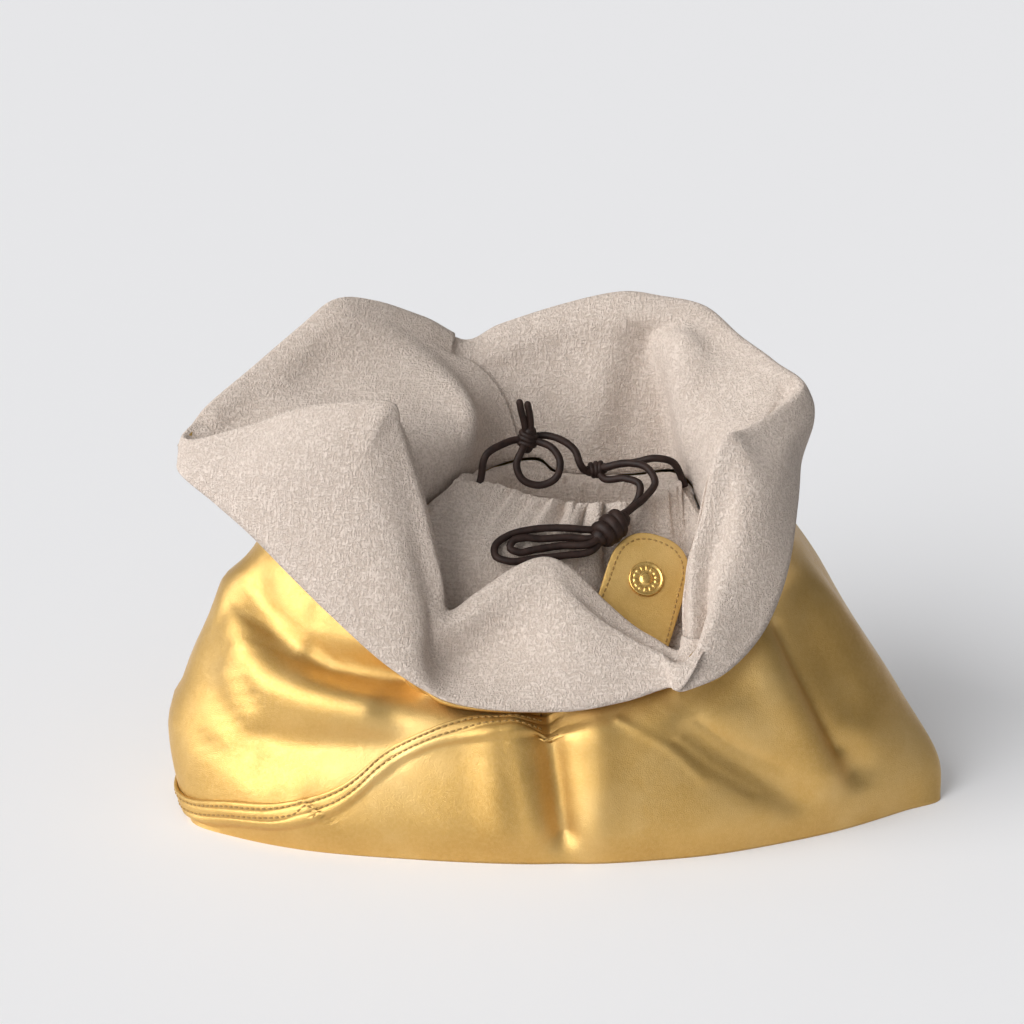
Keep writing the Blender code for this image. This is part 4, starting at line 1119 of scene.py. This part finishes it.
def gathers(stations, rows):
    """Creases between the rounded folds of the drawn cloth. They only cut in."""
    turn = np.radians(stations)
    neck = ring(NECK, stations)
    away = unit(neck - neck.mean(axis=0))
    away[:, 2] = 0.7
    push = np.zeros((len(rows), len(stations)))
    for count, depth, middle, spread, (first, second, third) in GATHERS:
        phase = count * turn / 2 + first * np.sin(2 * turn + third)
        phase = phase + second * np.sin(5 * turn + first)
        fold = np.abs(np.sin(phase)) ** 0.75 - 1
        vary = 0.65 + 0.35 * np.sin(3 * turn + count)
        share = np.exp(-(((rows - middle) / spread) ** 2))
        push += share[:, None] * (depth * vary * fold)[None, :]
    place, width, lower = CALM
    calm = 1 - lower * np.exp(-((apart(stations, place) / width) ** 2))
    return unit(away) * (push * calm[None, :])[..., None]


def seated(grid, place):
    """Presses the pouch down where the tab and its socket lie on it."""
    base, frame = place
    local = (grid - base) @ frame.T
    half = tab_half_width(SNAP_FROM_END - local[..., 1])
    inside = np.clip((half + 3 - np.abs(local[..., 0])) / 3, 0, 1) * (np.abs(local[..., 2]) < 15)
    near = np.clip((SOCKET_RADIUS + 2.5 - np.hypot(local[..., 0], local[..., 1])) / 2, 0, 1)
    limit = -SEAT_GAP - (SOCKET_HEIGHT + SEAT_GAP) * near
    drop = np.maximum(local[..., 2] - limit, 0) * inside
    return grid - drop[..., None] * frame[2]


def add_pouch(place, looks):
    stations = np.arange(720) / 2
    rows = np.concatenate([np.arange(0, 4, 0.25), np.arange(4, 9.01, 0.1)])
    grid = seated(pouch_surface(stations, rows) + gathers(stations, rows), place)
    columns = len(stations)
    count = len(rows) * columns
    faces = all_faces(len(rows), columns)
    points = np.concatenate([grid.reshape(-1, 3), [grid[0].mean(axis=0), grid[-1].mean(axis=0)]])
    for j in range(columns):
        k = (j + 1) % columns
        faces.append((k, j, count))
        faces.append((count - columns + j, count - columns + k, count + 1))
    pouch = add_mesh("drawstring_pouch_cloth", points, faces, looks["beige"])
    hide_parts("drawstring_pouch")


def smooth_route(route, steps):
    """Points evenly spaced along the smooth curve through a route, and the curve's length."""
    knots = distance_along(route)
    fine = smooth(knots, np.array(route, float), np.linspace(0, knots[-1], 600))
    travelled = distance_along(fine)
    even = np.linspace(0, travelled[-1], steps)
    return read_at(even, travelled, fine), travelled[-1]


# What each cord's two ends go into: a knot, or a point in the pouch's casing.
CORD_ENDS = {
    "cord_left": ((-42.5, 2.5, 161), "left_knot"),
    "cord_ring": ("left_knot", "left_knot"),
    "cord_second_loop": ("left_knot", "middle_knot"),
    "cord_right": ((68, 18, 158), "middle_knot"),
    "cord_upper_strand": ("middle_knot", "big_knot"),
    "cord_lower_strand": ("middle_knot", "big_knot"),
    "cord_long_loop": ("big_knot", "big_knot"),
    "cord_short_loop": ("big_knot", "big_knot"),
}
# How far a cord's end goes in, as a share of the way to the knot's middle.
INTO_KNOT = 0.62


def reaching(name, route):
    """The route with a point added at each end, inside what that end goes into."""
    added = []
    for end, place in zip(CORD_ENDS[name], (route[0], route[-1])):
        if isinstance(end, str):
            place = np.array(place, float)
            end = place + INTO_KNOT * (np.array(KNOTS[end][0], float) - place)
        added.append(tuple(end))
    return [added[0], *route, added[1]]


def add_cord(name, route, looks):
    points, length = smooth_route(reaching(name, route), max(24, int(8 * len(route))))
    curve = bpy.data.curves.new(name + "_leather", "CURVE")
    curve.dimensions = "3D"
    curve.bevel_depth = CORD_DIAMETER / 2 * MM
    curve.bevel_resolution = 5
    curve.use_fill_caps = True
    curve.materials.append(looks["brown"])
    spline = curve.splines.new("POLY")
    spline.points.add(len(points) - 1)
    for point, place in zip(spline.points, points):
        point.co = (*(place * MM), 1)
    obj = linked(name + "_leather", curve)
    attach(obj, "root")
    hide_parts(name)
    return obj, points, length


# The wraps of a knot: how many, how thick and how far apart against its length, and their lean.
WRAPS = 3
WRAP_THICKNESS = 1.12
WRAP_SPACING = 0.86
WRAP_LEAN = 0.22


def knot_parts(middle, axis, radius, length):
    """Wraps of cord round an axis: each is a ring that leans, and a strand runs through them."""
    side, other, up = frame_along(axis)
    middle = np.array(middle, float)
    thick = length / (2 * WRAPS) * WRAP_THICKNESS
    lean = WRAP_LEAN * length / WRAPS
    angles = np.linspace(0, 2 * math.pi * 1.06, 40)
    parts = []
    for k in range(WRAPS):
        at = (k - (WRAPS - 1) / 2) * length / WRAPS * WRAP_SPACING
        reach = radius - thick * (0.9 if k == 1 else 1.05)
        rise = [up * (at + lean * math.sin(a + k)) for a in angles]
        around_axis = [side * math.cos(a) + other * math.sin(a) for a in angles]
        path = [middle + high + reach * off for high, off in zip(rise, around_axis)]
        parts.append(tube(path, thick))
    path = [middle + up * (s * length * 0.5) for s in np.linspace(-0.92, 0.92, 8)]
    parts.append(tube(path, max(radius - thick, 2.0)))
    return parts


# The two cut ends of the cord that stand out of the left knot.
STUBS = [
    [(-17, 16.6, 189), (-18.2, 15.5, 196), (-19.6, 14.5, 202), (-20.4, 14.2, 206.5)],
    [(-14.8, 17, 189), (-14.6, 16.4, 195), (-15.4, 15.8, 201), (-16.2, 15.2, 205)],
]


def add_knots(looks):
    made = {}
    for name, (middle, axis, radius, length) in KNOTS.items():
        parts = knot_parts(middle, axis, radius, length)
        if name == "left_knot":
            for stub in STUBS:
                parts.append(tube(smooth_route(stub, 16)[0], CORD_DIAMETER / 2 * 0.95))
        points, faces = merged(parts)
        knot = add_mesh(name + "_wraps", points, faces, looks["brown"])
        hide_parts(name)
        made[name] = knot
    return made


# What the camera sees is this much brighter than the floor's own share of the light.
FLOOR_GLOW = 0.13
FLOOR_REACH = 30.0

# The soft key light comes from the upper left of the picture, in front of the bag, and the sky
# is brighter on its side. SKY maps how far a direction turns to the light to a strength.
KEY_FROM = (-1.75, -1.05, 1.05)
KEY_STRENGTH = 3.3
KEY_SPREAD = 60
SKY = {"From Min": -0.5, "From Max": 1.0, "To Min": 0.12, "To Max": 0.55}

CAMERA_AT = (-0.0244, -1.4171, 0.6658)
CAMERA_TILT = 70


def add_floor():
    """A floor that reaches past the view on every side, with no edge near the bag."""
    look = Look("studio_floor", (0.80, 0.80, 0.815), 0.9)
    look.set("Roughness", look.between(look.noise(30), 0.3, 0.7, 0.88, 0.95))
    path = look.node("ShaderNodeLightPath").outputs
    direct = look.maths("MAXIMUM", path["Is Camera Ray"], path["Is Glossy Ray"])
    look.set("Emission Color", (0.97, 0.98, 1.0, 1))
    look.set("Emission Strength", look.maths("MULTIPLY", direct, FLOOR_GLOW))
    mesh = bpy.data.meshes.new("studio_floor")
    ways = ((-1, -1), (1, -1), (1, 1), (-1, 1))
    corners = [(x * FLOOR_REACH, y * FLOOR_REACH, 0) for x, y in ways]
    mesh.from_pydata(corners, [], [(0, 1, 2, 3)])
    mesh.materials.append(look.made)
    linked("studio_floor", mesh)


def add_key():
    lamp = bpy.data.lights.new("key", "SUN")
    lamp.energy = KEY_STRENGTH
    lamp.angle = math.radians(KEY_SPREAD)
    obj = linked("key", lamp)
    obj.location = KEY_FROM
    obj.rotation_euler = mathutils.Vector(KEY_FROM).to_track_quat("Z", "Y").to_euler()


def add_studio():
    """The sky, the key light and the camera."""
    world = bpy.data.worlds.new("studio")
    bpy.context.scene.world = world
    world.use_nodes = True
    tree = world.node_tree
    background = tree.nodes["Background"]
    background.inputs["Color"].default_value = (1, 1, 1, 1)
    way = tree.nodes.new("ShaderNodeTexCoord").outputs["Generated"]
    towards_key = tree.nodes.new("ShaderNodeVectorMath")
    towards_key.operation = "DOT_PRODUCT"
    towards_key.inputs[1].default_value = tuple(unit(np.array(KEY_FROM)))
    tree.links.new(way, towards_key.inputs[0])
    fall = tree.nodes.new("ShaderNodeMapRange")
    fall.interpolation_type = "SMOOTHSTEP"
    for key, value in SKY.items():
        fall.inputs[key].default_value = value
    tree.links.new(towards_key.outputs["Value"], fall.inputs["Value"])
    tree.links.new(fall.outputs["Result"], background.inputs["Strength"])
    add_key()
    camera = bpy.data.cameras.new("camera")
    camera.lens = 100
    camera.sensor_width = 36
    camera.clip_end = 100
    obj = linked("camera", camera)
    obj.location = CAMERA_AT
    obj.rotation_euler = (math.radians(CAMERA_TILT), 0, 0)
    bpy.context.scene.camera = obj
    bpy.context.scene.view_settings.view_transform = "Standard"


# The tab and its snap: the socket behind it, how finely its outline is cut, how far in its
# stitches run, and the rows of the cap's profile that its ring of dashes raises, and how far.
SOCKET_HEIGHT = 1.8
SOCKET_RADIUS = 7.0
TAB_STEPS = 180
STITCH_FROM_TAB_EDGE = 3.4
LAYER_MARGIN = 2.2
LAYER_ROUNDING = 0.6
DASH_ROWS = (11, 12, 13, 14)
DASH_RISE = 0.35


def tab_place():
    """Where the snap stands on the tab, and the tab's axes, found as the solids find them."""
    solids = pouch_surface(np.arange(POUCH_STATIONS) * 360 / POUCH_STATIONS, POUCH_ROWS)
    along = unit(np.array(TAB_ALONG))
    facing = unit(np.cross(along, np.array(TAB_ACROSS)))
    if facing[2] < 0:
        facing = -facing
    frame = np.array([np.cross(facing, along), -along, facing])
    top = np.array(TAB_TOP, float)
    local = (between_rows(solids) - top) @ frame.T
    near = (np.abs(local[:, 0]) < tab_half_width(-local[:, 1]) + 2) & (np.abs(local[:, 2]) < 40)
    seat = local[near, 2].max() + SOCKET_HEIGHT + 2 * SEAT_GAP
    return top + along * SNAP_FROM_END + facing * seat, frame


def plate(name, outline, hole, low, high, place, look, slot):
    """A flat leather layer with a round hole, its edges rounded."""
    lengths = np.linalg.norm(outline, axis=1, keepdims=True)
    half = (high - low) / 2
    rows = [(hole, low + 0.1), (hole * 1.06, low)]
    ring_in = outline * (1 - LAYER_MARGIN / lengths)
    rows += [(hole + (ring_in - hole) * s, low) for s in (0.4, 0.8, 1.0)]
    for turn in np.linspace(-math.pi / 2, math.pi / 2, 7):
        loop = outline * (1 - (1 - math.cos(turn)) * LAYER_ROUNDING / lengths)
        rows.append((loop, low + half + half * math.sin(turn)))
    rows += [(hole + (ring_in - hole) * s, high) for s in (1.0, 0.8, 0.4)]
    rows += [(hole * 1.06, high), (hole, high - 0.1)]
    grid = np.array([np.column_stack([loop, np.full(len(loop), height)]) for loop, height in rows])
    columns = grid.shape[1]
    count = len(grid) * columns
    grid = np.concatenate([grid, grid[:1]])
    faces = [[c % count for c in face[::-1]] for face in all_faces(len(grid), columns)]
    points = placed(grid[:-1].reshape(-1, 3), *place)
    return add_mesh(name, points, faces, look)


def turned(name, rows, sides, place, look, slot, lift=None):
    """A turned piece from rows of (radius, height), closed at both ends."""
    angles = np.arange(sides) * 2 * math.pi / sides
    grid = []
    for k, (radius, height) in enumerate(rows):
        up = lift(angles) * (DASH_RISE if k in DASH_ROWS else 0) if lift else 0
        flat = [radius * np.cos(angles), radius * np.sin(angles)]
        grid.append(np.stack([*flat, height + up + 0 * angles], axis=1))
    points = placed(np.array(grid).reshape(-1, 3), *place)
    return add_mesh(name, points, capped_faces(len(rows), sides), look)


def dashes(angles):
    """1 on each dash of the cap's ring, and 0 between them."""
    wave = np.cos(SNAP_DASHES * angles)
    return np.clip((wave + 0.25) * 3, 0, 1)


def add_tab(place, looks):
    outline, hole = tab_outline(TAB_STEPS, POST_RADIUS + SEAT_GAP)
    low = TAB_LAYER + SEAT_GAP
    top = low + TAB_LAYER
    for name, bottom, upper in (("tab_back", 0, TAB_LAYER), ("tab_front", low, top)):
        ends = (outline, hole, bottom, upper)
        layer = plate(name + "_leather", *ends, place, looks["gold"], "gold_leather")
        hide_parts(name)
    lengths = np.linalg.norm(outline, axis=1, keepdims=True)
    line = outline * (1 - STITCH_FROM_TAB_EDGE / lengths)
    line = placed(np.column_stack([line, np.full(len(line), top + 0.05)]), *place)
    line = np.concatenate([line, line[:1]])
    normals = np.repeat(place[1][2][None], len(line), axis=0)
    sizes = {"pitch": 3.1, "length": 2.2, "width": 1.0}
    stitches("tab_stitches", [(line, normals)], looks["thread"], "gold_leather", **sizes)
    rest = top + SEAT_GAP
    r = SNAP_RADIUS
    cap = [
        (POST_RADIUS, -SEAT_GAP), (POST_RADIUS, rest), (r - 0.3, rest), (r, rest + 0.25),
        (r, rest + 0.6), (r - 0.2, rest + 0.95), (r - 0.65, rest + 1.12), (r - 1.1, rest + 1.0),
        (r - 1.5, rest + 0.72), (r - 1.9, rest + 0.62), (r - 2.3, rest + 0.62),
        (r - 2.5, rest + 0.66), (r - 2.9, rest + 0.74), (r - 4.0, rest + 0.74),
        (r - 4.4, rest + 0.66), (r - 4.7, rest + 0.62), (3.6, rest + 0.62), (3.2, rest + 0.8),
        (2.8, rest + 1.2), (2.0, rest + 1.48), (1.0, rest + 1.6), (0.3, rest + 1.63),
    ]
    snap = turned("snap_cap_metal", cap, 224, place, looks["brass"], "gold_metal", dashes)
    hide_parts("snap_cap")
    r = SOCKET_RADIUS
    back = [
        (6.0, -SEAT_GAP - SOCKET_HEIGHT),
        (6.6, -SEAT_GAP - SOCKET_HEIGHT + 0.08),
        (r, -SEAT_GAP - SOCKET_HEIGHT + 0.45),
        (r, -2 * SEAT_GAP - 0.1),
        (r - 0.1, -2 * SEAT_GAP),
        (1, -2 * SEAT_GAP),
    ]
    socket = turned("snap_socket_metal", back, 96, place, looks["brass"], "gold_metal")
    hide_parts("snap_socket")


def main():
    looks = {
        "gold": gold_leather(),
        "beige": beige_lining(),
        "brown": brown_cord(),
        "brass": gold_metal(),
        "thread": sewing_thread(),
    }
    add_studio()
    add_floor()
    cords = {name: add_cord(name, route, looks) for name, route in CORDS.items()}
    knots = add_knots(looks)
    ends = [*SIDE_SPAN, FRONT_SPAN[1], *BACK_SPAN]
    stations = np.unique(np.concatenate([AROUND % 360, ends]))
    lining = lining_surface(stations, LINING_ROWS)
    faces = -faces_out(lining)
    front, normals, edge, side = add_leather(stations, lining, faces, LINING_ROWS, looks)
    lines = [rows_between(front, normals, edge, inset, side) for inset in SEAM_ROWS]
    stitches("seam_stitches", lines, looks["thread"], "gold_leather")
    add_lining(stations, lining, faces, looks)
    place = tab_place()
    add_pouch(place, looks)
    add_tab(place, looks)


main()
